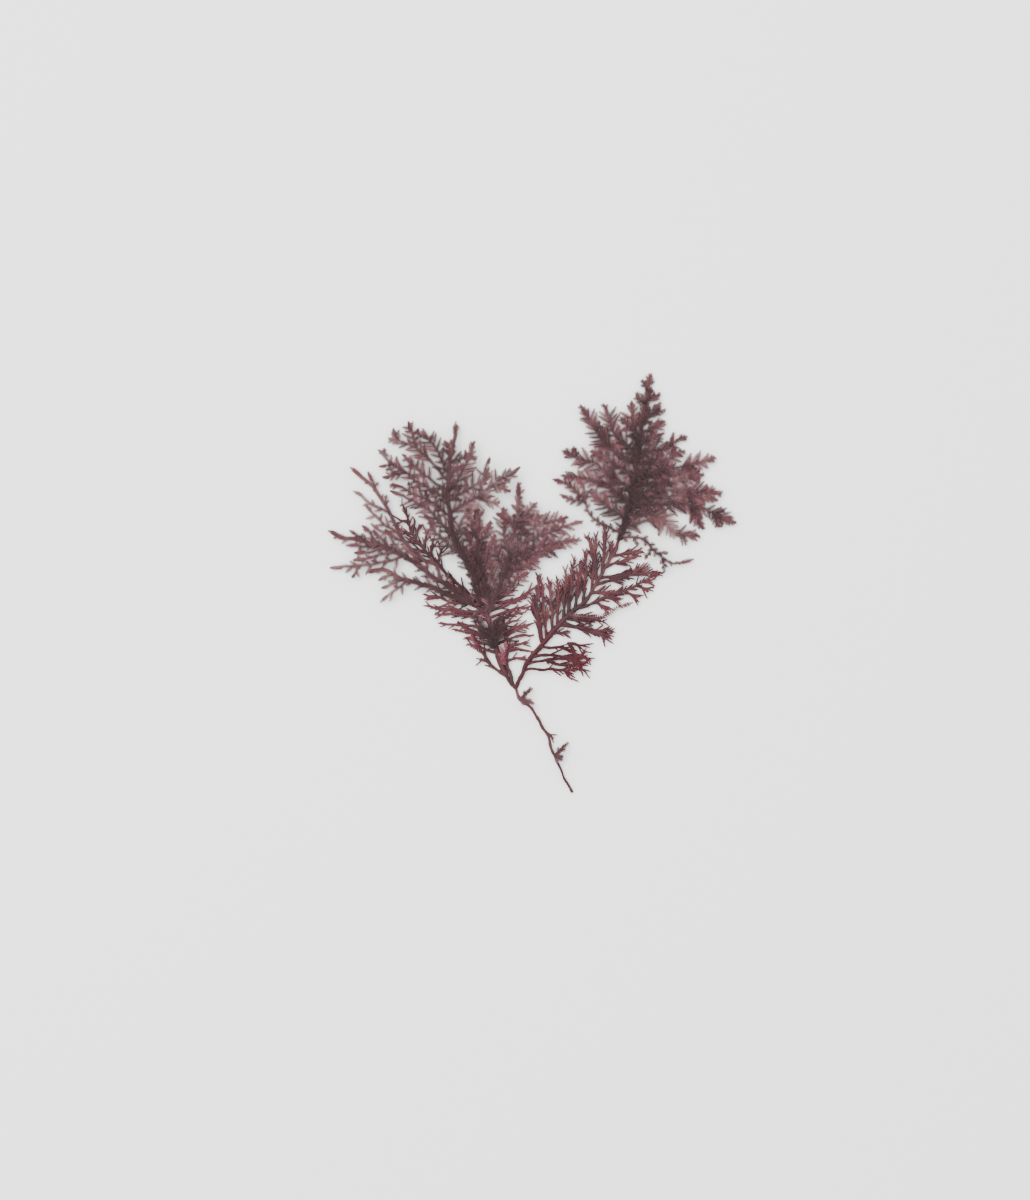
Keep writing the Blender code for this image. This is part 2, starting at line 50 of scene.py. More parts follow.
# %% Units and small helpers
import cmath
import math
import random

import bpy
import numpy as np
from mathutils import Matrix, Vector, noise
from mathutils.kdtree import KDTree

MM = 0.001


def start_fresh():
    bpy.ops.object.select_all(action="DESELECT")


def select_only(things):
    start_fresh()
    for thing in things:
        thing.select_set(True)
    bpy.context.view_layer.objects.active = things[0]


start_fresh()
print("selected:", len(bpy.context.selected_objects))

# %% [markdown]
# The photograph looks straight down on the plant. Its 1030 pixels across take in 294 mm, which is 3.5
# pixels to a millimetre, and its centre lies a little above the fork of the stem. A 50 mm lens on a 36 mm
# sensor then stands about half a metre above the floor.

# %% Camera
PHOTO_WIDTH, PHOTO_HEIGHT = 1030, 1200
PIXELS_PER_MM = 3.5
FORK_PIXEL = (516, 688)
LENS, SENSOR = 50.0, 36.0

camera_data = bpy.data.cameras.new("camera")
camera_data.lens = LENS
camera_data.sensor_width = SENSOR
camera = bpy.data.objects.new("camera", camera_data)
bpy.context.scene.collection.objects.link(camera)
view_height = PHOTO_HEIGHT / PIXELS_PER_MM
camera.location = (
    (PHOTO_WIDTH / 2 - FORK_PIXEL[0]) / PIXELS_PER_MM * MM,
    (FORK_PIXEL[1] - PHOTO_HEIGHT / 2) / PIXELS_PER_MM * MM,
    view_height * LENS / SENSOR * MM,
)
camera_data.clip_start = 0.01
bpy.context.scene.camera = camera
print("camera", round(camera.location.z * 1000), "mm above the floor")

# %% [markdown]
# The plant lies on a plain pale floor, a hair below its underside.

# %% Floor
FLOOR_SIZE, FLOOR_DROP = 4000.0, 0.05
FLOOR_COLOUR = (0.95, 0.95, 0.938, 1.0)

bpy.ops.mesh.primitive_plane_add(size=FLOOR_SIZE * MM, location=(0, 0, -FLOOR_DROP * MM))
floor = bpy.context.active_object
floor.name = "floor"
floor_finish = bpy.data.materials.new("plain_floor")
floor_finish.use_nodes = True
floor_shader = floor_finish.node_tree.nodes["Principled BSDF"]
floor_shader.inputs["Base Color"].default_value = FLOOR_COLOUR
floor_shader.inputs["Roughness"].default_value = 0.9
floor.data.materials.append(floor_finish)
print("floor", FLOOR_SIZE, "mm square")

# %% [markdown]
# Soft light from all round is what a pressed plant is photographed in. A bright, even world does most of
# it, and one wide lamp up on the left gives the ribs a lit side.

# %% Light
WORLD_STRENGTH = 2.1
LAMP_POWER, LAMP_SIZE = 12.0, 700.0
LAMP_PLACE = (-450.0, 350.0, 900.0)

world = bpy.data.worlds.new("soft_studio")
bpy.context.scene.world = world
world.use_nodes = True
world.node_tree.nodes["Background"].inputs["Color"].default_value = (1.0, 1.0, 1.0, 1.0)
world.node_tree.nodes["Background"].inputs["Strength"].default_value = WORLD_STRENGTH
lamp_data = bpy.data.lights.new("wide_lamp", "AREA")
lamp_data.energy = LAMP_POWER
lamp_data.size = LAMP_SIZE * MM
lamp = bpy.data.objects.new("wide_lamp", lamp_data)
bpy.context.scene.collection.objects.link(lamp)
lamp.location = Vector(LAMP_PLACE) * MM
lamp.rotation_euler = (-lamp.location).to_track_quat("-Z", "Y").to_euler()
print("lamp at", LAMP_PLACE)

# %% [markdown]
# ## The plan of the plant
#
# The plan was read off the photograph: for each frond the points of its main axes, from root to tip,
# and for each side rib the share of the axis at which it leaves, the place of its tip and how far it bows
# to its left. It is the same plan as in the part's own source, in millimetres from the fork. Twigs are
# given by their tips alone, because a growth rule finds the rib that each one springs from.

# %% Plan of the host plant
HOST_PLAN = [
    ([(16.0, -30.0), (12.0, -21.1), (9.7, -15.7), (7.1, -10.6), (4.3, -6.0), (1.4, -2.6), (0, 0),
      (-0.6, 1.0)], [
        (0.52, 11.1, -14.3, 0)]),
    ([(0, 0), (1.4, 4.3), (4.3, 8.6), (11.4, 16.9), (19.7, 25.1), (23.1, 30.0), (26.0, 35.4),
      (30.3, 43.4)], [
        (0.27, 4.9, 25.7, 0), (0.285, 6.3, 32.6, 0.04), (0.32, 7.3, 29.6, 0), (0.365, 9.4, 30.9, 0),
        (0.405, 12.0, 31.4, 0), (0.445, 14.3, 33.7, 0), (0.485, 16.3, 37.1, 0), (0.53, 18.3, 36.3, 0),
        (0.59, 20.0, 38.9, 0), (0.665, 20.6, 43.7, -0.06), (0.715, 22.9, 43.7, 0.04), (0.77, 25.7, 46.0, 0),
        (0.84, 27.7, 42.0, 0), (0.35, 14.6, 15.7, 0), (0.415, 26.6, 14.9, 0.04), (0.43, 27.4, 16.3, -0.05),
        (0.46, 21.7, 18.6, 0.04), (0.49, 25.1, 18.9, 0.06), (0.53, 39.7, 32.3, -0.02),
        (0.655, 28.3, 27.4, 0), (0.70, 41.7, 32.9, 0.05), (0.74, 37.4, 34.6, -0.04), (0.81, 34.6, 37.4, 0),
        (0.88, 36.0, 39.4, -0.03)]),
    ([(0, 0), (-2.9, 3.1), (-4.9, 8.0), (-6.3, 13.1), (-7.4, 18.0), (-8.6, 22.9), (-9.7, 27.4),
      (-13.1, 36.6)], [
        (0.25, 4.6, 10.3, 0.18), (0.37, 5.1, 14.9, 0.08), (0.40, 5.7, 19.1, 0.03), (0.52, 3.1, 21.7, 0.04),
        (0.555, 4.9, 23.7, 0.03), (0.66, 6.6, 29.6, -0.08), (0.46, 1.4, 19.6, 0.04), (0.60, 3.4, 26.6, 0),
        (0.63, 0.3, 28.9, 0), (0.30, -11.7, 12.6, 0), (0.36, -15.1, 14.6, 0), (0.40, -15.1, 16.4, 0),
        (0.44, -18.6, 16.9, 0.03), (0.48, -22.0, 18.6, 0), (0.54, -23.4, 20.9, -0.03),
        (0.57, -21.1, 23.7, 0), (0.60, -26.6, 23.4, 0.02), (0.66, -26.6, 26.9, 0.05),
        (0.70, -19.7, 30.3, 0.03)]),
    ([(-2.9, 3.1), (-6.6, 6.0), (-9.4, 10.3), (-11.4, 14.0), (-16.6, 18.6)], [
        (0.35, -10.9, 7.7, 0), (0.55, -14.3, 12.6, 0)]),
    ([(-1.1, 1.5), (-2.4, 5.6), (-2.8, 10.0), (-2.7, 14.7), (-3.9, 20.2)], [
        (0.35, 2.9, 8.9, 0.05), (0.55, 3.7, 12.9, 0), (0.75, 2.0, 17.1, 0)]),
    ([(-9.1, 23.7), (-13.7, 27.4), (-18.9, 31.7), (-26.9, 40.3), (-29.7, 44.9), (-32.9, 53.1)], [
        (0.49, -28.6, 36.6, 0), (0.575, -30.3, 39.7, 0), (0.65, -32.0, 42.0, 0), (0.74, -32.6, 44.9, 0),
        (0.83, -33.7, 47.7, 0), (0.455, -20.9, 40.0, 0), (0.54, -23.4, 43.1, 0), (0.61, -25.4, 45.1, 0),
        (0.695, -27.4, 47.1, 0), (0.74, -29.1, 48.3, 0)]),
    ([(-8.6, 21.7), (-13.7, 24.3), (-18.9, 26.9), (-24.0, 28.6), (-30.9, 30.6)], []),
]
HOST_TWIGS = [(24.9, 13.7), (26.0, 22.6), (38.3, 28.0), (38.9, 29.7), (34.6, 26.0), (29.1, 25.1),
              (-25.4, 25.1), (-23.4, 22.3)]
CRIMSON_PLAN = [
    ([(6.0, 11.2), (8.1, 11.7), (12.1, 12.0), (15.9, 10.8), (17.9, 9.4), (21.7, 8.0)], []),
    ([(4.2, 8.5), (6.5, 9.2), (9.7, 9.6), (12.9, 9.3), (15.9, 8.8), (18.5, 9.6), (20.3, 10.4)], []),
    ([(3.0, 6.8), (4.9, 7.4), (8.1, 7.9), (12.9, 8.6), (16.9, 7.6), (20.9, 7.4)], []),
    ([(1.9, 5.2), (3.5, 5.7), (6.9, 5.3), (9.9, 5.1), (13.5, 5.1), (18.7, 5.2)], []),
    ([(14.9, 13.4), (16.4, 11.2), (16.9, 9.4), (17.3, 7.0), (18.7, 5.4), (20.3, 4.0)], []),
    ([(15.2, 13.0), (16.9, 12.8), (18.7, 11.2)], []),
    ([(8.6, 8.0), (10.3, 7.4), (12.9, 6.8), (15.9, 6.4), (19.9, 6.6)], []),
    ([(12.9, 5.2), (13.9, 4.9), (16.1, 2.5)], []),
]
CRIMSON_TWIGS = [(18.9, 12.4), (11.9, 10.9), (9.7, 6.6)]
print("host axes", len(HOST_PLAN), "and crimson axes", len(CRIMSON_PLAN))

# %% Plan of the feathery fronds
LEFT_PLUME_PLAN = [
    ([(-9.4, 23.6), (-11.2, 28.6), (-13.4, 34.3), (-16.0, 39.4), (-18.0, 45.1), (-19.1, 50.9),
      (-19.1, 56.6), (-18.9, 62.3), (-18.0, 68.6), (-16.9, 76.0)], [
        (0.28, -26.3, 49.7, 0.05), (0.385, -36.0, 56.3, -0.08), (0.495, -36.0, 58.3, -0.05),
        (0.575, -39.4, 67.7, 0.03), (0.62, -32.6, 66.6, 0.03), (0.675, -36.3, 71.7, -0.1),
        (0.73, -26.6, 74.0, 0), (0.80, -20.4, 70.6, -0.1), (0.385, -12.6, 52.3, 0), (0.51, 1.1, 62.3, 0),
        (0.575, -6.9, 60.3, 0), (0.63, -12.0, 70.0, -0.08), (0.71, -15.1, 63.6, 0),
        (0.79, -12.6, 66.6, 0)]),
]
LEFT_PLUME_TWIGS = [(-30.9, 76.3), (-34.6, 74.3), (-32.3, 69.4), (-29.1, 72.6), (-24.0, 72.0),
                    (-37.4, 68.0), (-39.1, 63.1), (-38.3, 60.0), (-7.7, 65.4), (-7.4, 62.6), (-10.9, 64.9),
                    (-4.6, 60.3), (-1.4, 58.6), (-1.7, 55.7), (-4.6, 52.6)]
MIDDLE_PLAN = [
    ([(-8.2, 21.2), (-5.4, 26.6), (-3.4, 31.7), (-2.0, 37.1), (-0.9, 42.3), (0, 47.4), (0.6, 52.9),
      (0.9, 58.9)], [
        (0.17, 4.0, 33.1, 0), (0.285, 7.7, 37.7, 0), (0.385, 13.1, 40.6, 0.03), (0.455, 18.4, 42.1, 0.06),
        (0.515, 19.0, 47.5, 0.03), (0.59, 15.1, 48.6, 0.05), (0.65, 7.7, 49.4, 0), (0.71, 6.0, 53.1, -0.05),
        (0.785, 2.3, 52.3, 0), (0.17, -7.4, 38.0, 0.04), (0.32, -6.3, 43.7, 0.04), (0.475, -3.1, 51.7, 0.1),
        (0.67, -5.4, 49.7, 0)]),
    ([(-7.3, 22.6), (-8.0, 26.1), (-9.5, 31.7), (-10.6, 38.6), (-10.9, 45.1), (-10.9, 51.7)], [
        (0.27, -15.1, 40.9, 0), (0.46, -14.9, 46.0, 0), (0.675, -13.7, 50.3, 0), (0.36, -6.6, 42.3, 0),
        (0.57, -6.9, 47.4, 0), (0.83, -8.9, 50.6, 0)]),
]
LEFT_OUTER_PLAN = [
    ([(-21.0, 30.4), (-22.9, 34.9), (-28.0, 37.7), (-32.0, 42.3), (-34.6, 46.9), (-36.9, 51.4),
      (-39.4, 55.7), (-42.9, 59.4), (-47.1, 63.1)], [
        (0.37, -41.4, 46.9, 0.05), (0.41, -43.1, 52.3, 0.04), (0.595, -46.3, 56.0, 0.04),
        (0.775, -42.0, 61.7, 0), (0.65, -37.1, 55.1, 0)]),
    ([(-12.4, 24.0), (-19.4, 29.4), (-26.0, 33.7), (-32.6, 37.7), (-37.4, 40.3), (-43.1, 42.0),
      (-48.6, 42.9), (-53.7, 44.6)], [
        (0.34, -32.6, 40.9, 0), (0.49, -37.4, 45.1, 0), (0.585, -40.6, 45.4, 0),
        (0.665, -44.0, 46.6, -0.06), (0.775, -47.4, 45.1, 0), (0.51, -53.1, 34.0, 0.03),
        (0.565, -46.3, 36.6, 0), (0.61, -46.0, 38.6, 0), (0.665, -48.6, 40.6, 0)]),
    ([(-12.4, 24.0), (-19.4, 26.9), (-25.1, 28.9), (-30.9, 30.6), (-34.6, 32.9), (-38.9, 34.0),
      (-42.3, 32.9)], [
        (0.59, -38.6, 24.9, -0.04), (0.66, -38.0, 28.3, 0), (0.745, -38.9, 30.6, 0)]),
]
LEFT_OUTER_TWIGS = [(-46.6, 31.4)]
RIGHT_PLUME_PLAN = [
    ([(29.7, 42.0), (31.1, 47.4), (32.6, 53.7), (33.7, 60.0), (34.6, 66.6), (35.4, 73.1), (36.6, 79.4),
      (37.7, 85.1), (38.9, 90.0)], [
        (0.08, 42.6, 47.7, 0.05), (0.155, 46.0, 43.3, 0.2), (0.20, 63.1, 47.1, 0.1),
        (0.245, 57.7, 53.4, 0.05), (0.29, 58.6, 55.4, 0.04), (0.335, 53.7, 61.4, -0.06),
        (0.375, 52.3, 62.0, 0), (0.41, 57.1, 65.4, -0.03), (0.445, 48.3, 67.7, -0.05),
        (0.51, 48.9, 71.7, -0.05), (0.57, 42.3, 72.9, 0), (0.63, 42.6, 76.0, 0), (0.69, 41.4, 80.9, 0),
        (0.83, 41.1, 83.4, 0.1), (0.86, 38.9, 85.1, 0), (0.125, 21.1, 56.3, 0.04),
        (0.215, 12.9, 60.6, -0.13), (0.30, 13.4, 67.7, -0.06), (0.375, 21.1, 67.7, -0.05),
        (0.445, 18.6, 80.6, 0.1), (0.51, 25.1, 81.1, 0.1), (0.56, 32.9, 81.7, 0.03), (0.60, 29.7, 77.1, 0),
        (0.815, 34.3, 84.0, 0.1), (0.885, 36.3, 87.4, 0)]),
    ([(30.2, 44.0), (25.1, 46.6), (21.7, 48.9), (20.0, 51.7), (19.4, 55.1), (18.6, 58.0), (17.1, 59.4)], [
        (0.72, 10.6, 59.7, -0.05), (0.66, 12.6, 54.9, 0.03), (0.75, 22.0, 56.6, 0)]),
    ([(29.9, 42.6), (34.9, 43.1), (37.7, 41.7), (39.7, 38.6), (43.1, 36.0), (46.9, 35.7), (50.6, 36.6)], [
        (0.55, 43.4, 38.6, 0), (0.15, 34.3, 41.1, 0), (0.45, 36.9, 36.6, 0), (0.62, 42.6, 33.1, 0)]),
]
RIGHT_PLUME_TWIGS = [(20.0, 76.9), (21.4, 75.1), (23.4, 75.7), (16.6, 68.3), (44.9, 72.0), (42.3, 78.6),
                     (54.6, 57.4), (58.9, 50.9), (57.7, 46.0), (53.4, 45.1), (52.3, 43.4)]
print("twigs of the two plumes:", len(LEFT_PLUME_TWIGS) + len(RIGHT_PLUME_TWIGS))

# %% Plan of the small sprigs
UPPER_STEM_PLAN = [([(1.7, -2.9), (5.1, 0)], []), ([(1.7, -2.9), (5.4, -4.6)], [])]
LOWER_STEM_PLAN = [([(11.1, -18.9), (14.6, -15.4)], []), ([(11.1, -18.9), (13.4, -20.0)], [])]
LEFT_ROSE_PLAN = [([(-10.3, 11.4), (-12.9, 14.6)], []), ([(-10.3, 11.4), (-12.3, 12.0)], [])]
RIGHT_ROSE_PLAN = [([(-3.9, 6.6), (-4.6, 12.3)], []), ([(-3.9, 6.6), (-2.9, 13.7)], [])]
STEM_TUFT_PLAN = [
    ([(-6.5, 11.9), (-7.1, 15.0), (-7.6, 18.9)], [
        (0.30, -11.0, 17.4, 0), (0.62, -11.9, 20.3, 0.03), (0.36, -2.9, 17.7, 0), (0.66, -3.7, 20.6, -0.03)]),
]
TIP_SPRIG_PLAN = [([(15.6, 21.0), (20.0, 20.4), (24.0, 20.6), (28.3, 22.6), (32.9, 24.6)], [])]
print("side ribs of the stem tuft:", len(STEM_TUFT_PLAN[0][1]))

# %% [markdown]
# How a frond lies is a list of distances from the root of its axis and heights of its underside there. The
# plant rests on four low spots: the cut end of its stem, its fork and the tips of two fronds. Most fronds
# cross the host one storey up and come down beyond it, and the left plume lies over them on a second
# storey.

# %% How the fronds lie
FOOT, BELLY, FREE_TIP, LANE_1, LANE_2 = 0.0, 0.5, 0.6, 1.8, 3.3
HOST_LIE = [
    [(0, FOOT), (5.0, BELLY), (26.0, BELLY), (30.5, FOOT)],
    [(0, FOOT), (5.0, BELLY)],
    [(0, FOOT), (5.0, BELLY)],
] + [[(0, BELLY)]] * 4
CRIMSON_LIE = [[(0, LANE_1), (4.0, LANE_1), (8.0, FREE_TIP)]] * 4 + [[(0, FREE_TIP)]] * 4
LEFT_PLUME_LIE = [[(0, LANE_1), (1.5, LANE_1), (8.0, LANE_2), (38.0, LANE_2), (56.0, FREE_TIP)]]
MIDDLE_LIE = [[(0, LANE_1), (14.0, LANE_1), (30.0, FREE_TIP + 0.9)]] * 2
LEFT_OUTER_LIE = [
    [(0, LANE_1), (22.0, LANE_1), (36.0, FREE_TIP)],
    [(0, LANE_1), (28.0, LANE_1), (40.0, FREE_TIP), (42.0, FREE_TIP), (45.5, FOOT)],
    [(0, LANE_1), (20.0, LANE_1), (30.0, FREE_TIP)],
]
RIGHT_PLUME_LIE = [
    [(0, LANE_1), (8.0, LANE_1), (22.0, FREE_TIP), (44.5, FREE_TIP), (48.5, FOOT)],
    [(0, LANE_1), (8.0, LANE_1), (22.0, FREE_TIP)],
    [(0, LANE_1), (16.0, LANE_1), (21.0, FREE_TIP)],
]
SPRIG_LIE = [[(0, LANE_1), (2.0, LANE_1), (5.0, FREE_TIP + 0.4)]] * 2
FLAT_SPRIG_LIE = [[(0, LANE_1)]] * 2
TUFT_LIE = [[(0, LANE_1)]]


def height(lie, reach):
    for (near, low), (far, high) in zip(lie, lie[1:]):
        if reach < far:
            t = max(0.0, (reach - near) / (far - near))
            return low + (high - low) * t * t * (3 - 2 * t)
    return lie[-1][1]


print("left plume 20 mm out lies", round(height(LEFT_PLUME_LIE[0], 20), 2), "mm up")

# %% [markdown]
# Points in the plan are complex numbers: their difference is a direction, and a product turns one. A rib
# keeps its path together with all that is asked of it later: its order, how it lies, and how thick, dark and
# fresh it is.

# %% A rib
class Rib:
    def __init__(self, path, parent, lie, origin, number):
        self.path = path
        self.number = number
        self.order = 0 if parent is None else parent.order + 1
        self.lie = lie
        self.origin = origin
        self.length = sum(abs(q - p) for p, q in zip(path, path[1:]))
        self.weight = 1.0
        self.darkness = 1.0
        self.freshness = 0.0


def level_at(rib, place):
    return height(rib.lie, abs(place - rib.origin))


print("from the fork, a rib to (3, 4) is", Rib([0j, 3 + 4j], None, HOST_LIE[0], 0j, 0).length, "mm long")

# %% [markdown]
# Only a few points of each rib are known. `smooth` lays a curve through them, as a thin wire would run, and
# spaces it evenly. No rib dries quite straight, so `wavered` moves a point by a small, smooth wave that is
# the same for all ribs.

# %% Curves
FINE_STEP, CURVE_CUTS = 0.5, 20
WAVE, WAVE_LENGTH = 0.7, 3.6


def evenly(path, step):
    walked = np.concatenate(([0.0], np.cumsum(np.abs(np.diff(path)))))
    count = max(1, round(walked[-1] / step))
    places = np.linspace(0.0, walked[-1], count + 1)
    return [complex(x, y) for x, y in zip(np.interp(places, walked, np.real(path)),
                                          np.interp(places, walked, np.imag(path)))]


def smooth(points, step):
    known = [complex(*p) if isinstance(p, tuple) else p for p in points]
    ends = [2 * known[0] - known[1]] + known + [2 * known[-1] - known[-2]]
    fine = []
    for a, b, c, d in zip(ends, ends[1:], ends[2:], ends[3:]):
        for k in range(CURVE_CUTS):
            t = k / CURVE_CUTS
            bow, twist = a - 2.5 * b + 2 * c - d / 2, 1.5 * (b - c) + (d - a) / 2
            fine.append(b + t * ((c - a) / 2 + t * (bow + t * twist)))
    fine.append(known[-1])
    return evenly(fine, step)


def bowed(root, tip, bow):
    return smooth([root, (root + tip) / 2 + 1j * bow * (tip - root), tip], FINE_STEP)


def wavered(place):
    across, along = place.real / WAVE_LENGTH, place.imag / WAVE_LENGTH
    shift = complex(noise.noise(Vector((across, along, 0.5))), noise.noise(Vector((across, along, 7.5))))
    return place + WAVE * shift


print("a bowed rib of 10 mm has", len(bowed(0j, 10 + 0j, 0.1)), "points")

# %% [markdown]
# `grow` turns a plan into ribs. A twig looks at all side ribs and springs from a near one that it leaves at
# about 42 degrees, the most natural angle.

# %% Growth rule
TWIG_ANGLE, ANGLE_PLAY, TWIG_SPAN = 42, 25, 0.93


def bend(a, b):
    return math.degrees(cmath.phase(b / a))


def grow(plan, lies, twigs):
    ribs = []
    for number, ((points, sides), lie) in enumerate(zip(plan, lies)):
        axis = Rib(smooth(points, FINE_STEP), None, lie, complex(*points[0]), number)
        ribs.append(axis)
        for station, x, y, bow in sides:
            root = axis.path[round(station * (len(axis.path) - 1))]
            ribs.append(Rib(bowed(root, complex(x, y), bow), axis, lie, axis.origin, number))
    bearers = [rib for rib in ribs if rib.order == 1] or list(ribs)
    for place in twigs:
        tip = complex(*place)
        best = None
        for rib in bearers:
            for k in range(1, int(len(rib.path) * TWIG_SPAN)):
                reach = tip - rib.path[k]
                off = abs(bend(rib.path[k] - rib.path[k - 1], reach))
                cost = abs(reach) * (1 + ((off - TWIG_ANGLE) / ANGLE_PLAY) ** 2)
                if best is None or cost < best[0]:
                    best = (cost, rib, k)
        _, rib, k = best
        ribs.append(Rib(bowed(rib.path[k], tip, 0), rib, rib.lie, rib.origin, rib.number))
    for rib in ribs:
        rib.path = [wavered(p) for p in rib.path]
    return ribs


print("the right plume has", len(grow(RIGHT_PLUME_PLAN, RIGHT_PLUME_LIE, RIGHT_PLUME_TWIGS)), "ribs")

# %% [markdown]
# ## Finishes
#
# A dried seaweed has no one colour. Where branches lie on each other it is a dark grey-purple, towards the
# tips it turns rosy and paler, and patches of it have faded. The mesh carries two values at each of its
# points, its youth and its stain and shade, and one node group turns them into a finish for every part of
# the plant. It mixes an old and a young colour by the youth, fades patches with a noise, covers the result
# with a dark colour along the ribs, and gives the fine wrinkles of a dried skin as a height. On the fronds
# this dark colour is mostly a painted shade, the darkness of crowded, overlapping branchlets; on the host it
# is a real wine-red stain.

# %% Node group for a dried thallus
SPECKLE_SCALE, WRINKLE_SCALE = 2600.0, 5200.0
PATCH_SWING, SPECKLE_SWING, ROUGHNESS_SWING = 1.1, 0.7, 0.3
FADING_STARTS, FADING_ENDS = 0.5, 0.72


def dried_thallus_group():
    group = bpy.data.node_groups.new("dried_thallus", "ShaderNodeTree")
    for name in ("Youth", "Stain And Shade", "Patch Scale", "Base Roughness"):
        group.interface.new_socket(name, in_out="INPUT", socket_type="NodeSocketFloat")
    for name in ("Old Color", "Young Color", "Faded Color", "Stain And Shade Color"):
        group.interface.new_socket(name, in_out="INPUT", socket_type="NodeSocketColor")
    group.interface.new_socket("Color", in_out="OUTPUT", socket_type="NodeSocketColor")
    for name in ("Roughness", "Height"):
        group.interface.new_socket(name, in_out="OUTPUT", socket_type="NodeSocketFloat")
    nodes, links = group.nodes, group.links
    given = nodes.new("NodeGroupInput")
    result = nodes.new("NodeGroupOutput")
    place = nodes.new("ShaderNodeTexCoord")

    def noise_at(scale, detail):
        made = nodes.new("ShaderNodeTexNoise")
        made.inputs["Scale"].default_value = scale
        made.inputs["Detail"].default_value = detail
        links.new(place.outputs["Object"], made.inputs["Vector"])
        return made

    def math_of(operation, first, second):
        made = nodes.new("ShaderNodeMath")
        made.operation = operation
        for socket, value in zip(made.inputs, (first, second)):
            if isinstance(value, float):
                socket.default_value = value
            else:
                links.new(value, socket)
        return made.outputs[0]

    def swing(texture, amount):
        return math_of("MULTIPLY", math_of("SUBTRACT", texture.outputs["Fac"], 0.5), amount)

    def clamped(value):
        made = nodes.new("ShaderNodeClamp")
        links.new(value, made.inputs["Value"])
        return made.outputs[0]

    def mix_of(factor, first, second):
        made = nodes.new("ShaderNodeMix")
        made.data_type = "RGBA"
        links.new(factor, made.inputs["Factor"])
        links.new(first, made.inputs[6])
        links.new(second, made.inputs[7])
        return made.outputs[2]

    patches = noise_at(1.0, 3.0)
    links.new(given.outputs["Patch Scale"], patches.inputs["Scale"])
    speckle = noise_at(SPECKLE_SCALE, 2.0)
    wrinkles = noise_at(WRINKLE_SCALE, 3.0)
    shade = math_of("ADD", given.outputs["Youth"], swing(patches, PATCH_SWING))
    shade = math_of("ADD", shade, swing(speckle, SPECKLE_SWING))
    grown = mix_of(clamped(shade), given.outputs["Old Color"], given.outputs["Young Color"])
    fading = nodes.new("ShaderNodeMapRange")
    fading.inputs["From Min"].default_value = FADING_STARTS
    fading.inputs["From Max"].default_value = FADING_ENDS
    fading.inputs["To Max"].default_value = 1.0
    links.new(patches.outputs["Fac"], fading.inputs["Value"])
    faded = clamped(math_of("MULTIPLY", fading.outputs[0], given.outputs["Youth"]))
    worn = mix_of(faded, grown, given.outputs["Faded Color"])
    # Painted shade: on the fronds the stain colour is laid along the ribs as the darkness of crowded,
    # overlapping branchlets; on the host it is a real stain.
    stained_and_shaded = mix_of(clamped(given.outputs["Stain And Shade"]), worn, given.outputs["Stain And Shade Color"])
    links.new(stained_and_shaded, result.inputs["Color"])
    rough = math_of("ADD", given.outputs["Base Roughness"], swing(speckle, ROUGHNESS_SWING))
    links.new(rough, result.inputs["Roughness"])
    links.new(wrinkles.outputs["Fac"], result.inputs["Height"])
    return group


dried_thallus = dried_thallus_group()
print("group sockets:", [item.name for item in dried_thallus.interface.items_tree])

# %% [markdown]
# Each finish has four colours of its own. They are written as they look on a screen, from 0 to 255, and
# changed to the linear values that the shader wants. Sheen is a little light along the edges, as fine hairs
# give it.

# %% Materials
WRINKLE_DEPTH = 0.05


def from_screen(red, green, blue):
    parts = [value / 255 for value in (red, green, blue)]
    return tuple(p / 12.92 if p <= 0.04045 else ((p + 0.055) / 1.055) ** 2.4 for p in parts) + (1.0,)


def thallus_material(name, old, young, faded, stain_and_shade, patch_scale, roughness, wrinkle, sheen):
    made = bpy.data.materials.new(name)
    made.use_nodes = True
    nodes, links = made.node_tree.nodes, made.node_tree.links
    shader = nodes["Principled BSDF"]
    shader.inputs["Specular IOR Level"].default_value = 0.25
    shader.inputs["Sheen Weight"].default_value = sheen
    shader.inputs["Sheen Roughness"].default_value = 0.5
    skin = nodes.new("ShaderNodeGroup")
    skin.node_tree = dried_thallus
    for value, socket in [("youth", "Youth"), ("stain_and_shade", "Stain And Shade")]:
        carried = nodes.new("ShaderNodeAttribute")
        carried.attribute_name = value
        links.new(carried.outputs["Fac"], skin.inputs[socket])
    for socket, colour in [("Old", old), ("Young", young), ("Faded", faded), ("Stain And Shade", stain_and_shade)]:
        skin.inputs[socket + " Color"].default_value = from_screen(*colour)
    skin.inputs["Patch Scale"].default_value = patch_scale
    skin.inputs["Base Roughness"].default_value = roughness
    bump = nodes.new("ShaderNodeBump")
    bump.inputs["Strength"].default_value = wrinkle
    bump.inputs["Distance"].default_value = WRINKLE_DEPTH * MM
    links.new(skin.outputs["Height"], bump.inputs["Height"])
    links.new(skin.outputs["Color"], shader.inputs["Base Color"])
    links.new(skin.outputs["Roughness"], shader.inputs["Roughness"])
    links.new(bump.outputs["Normal"], shader.inputs["Normal"])
    return made


# The fourth colour of each finish is the dark along the ribs: a painted shade on the fronds, the crimson
# spray and the rose sprigs, and a real wine-red stain on the host.
frond_purple = thallus_material("frond_purple", (60, 36, 39), (123, 74, 80), (144, 112, 112), (38, 24, 27),
                                120.0, 0.65, 0.4, 0.02)
host_wine = thallus_material("host_wine", (42, 17, 22), (88, 37, 45), (101, 62, 62), (58, 4, 17),
                             150.0, 0.55, 0.6, 0.02)
crimson_blade = thallus_material("crimson_blade", (60, 4, 18), (82, 7, 24), (94, 18, 32), (48, 3, 13),
                                 220.0, 0.5, 0.5, 0.02)
rose_tuft = thallus_material("rose_tuft", (92, 40, 50), (128, 66, 79), (142, 86, 98), (66, 26, 36),
                             220.0, 0.6, 0.4, 0.02)
print("finishes:", [m.name for m in (frond_purple, host_wine, crimson_blade, rose_tuft)])

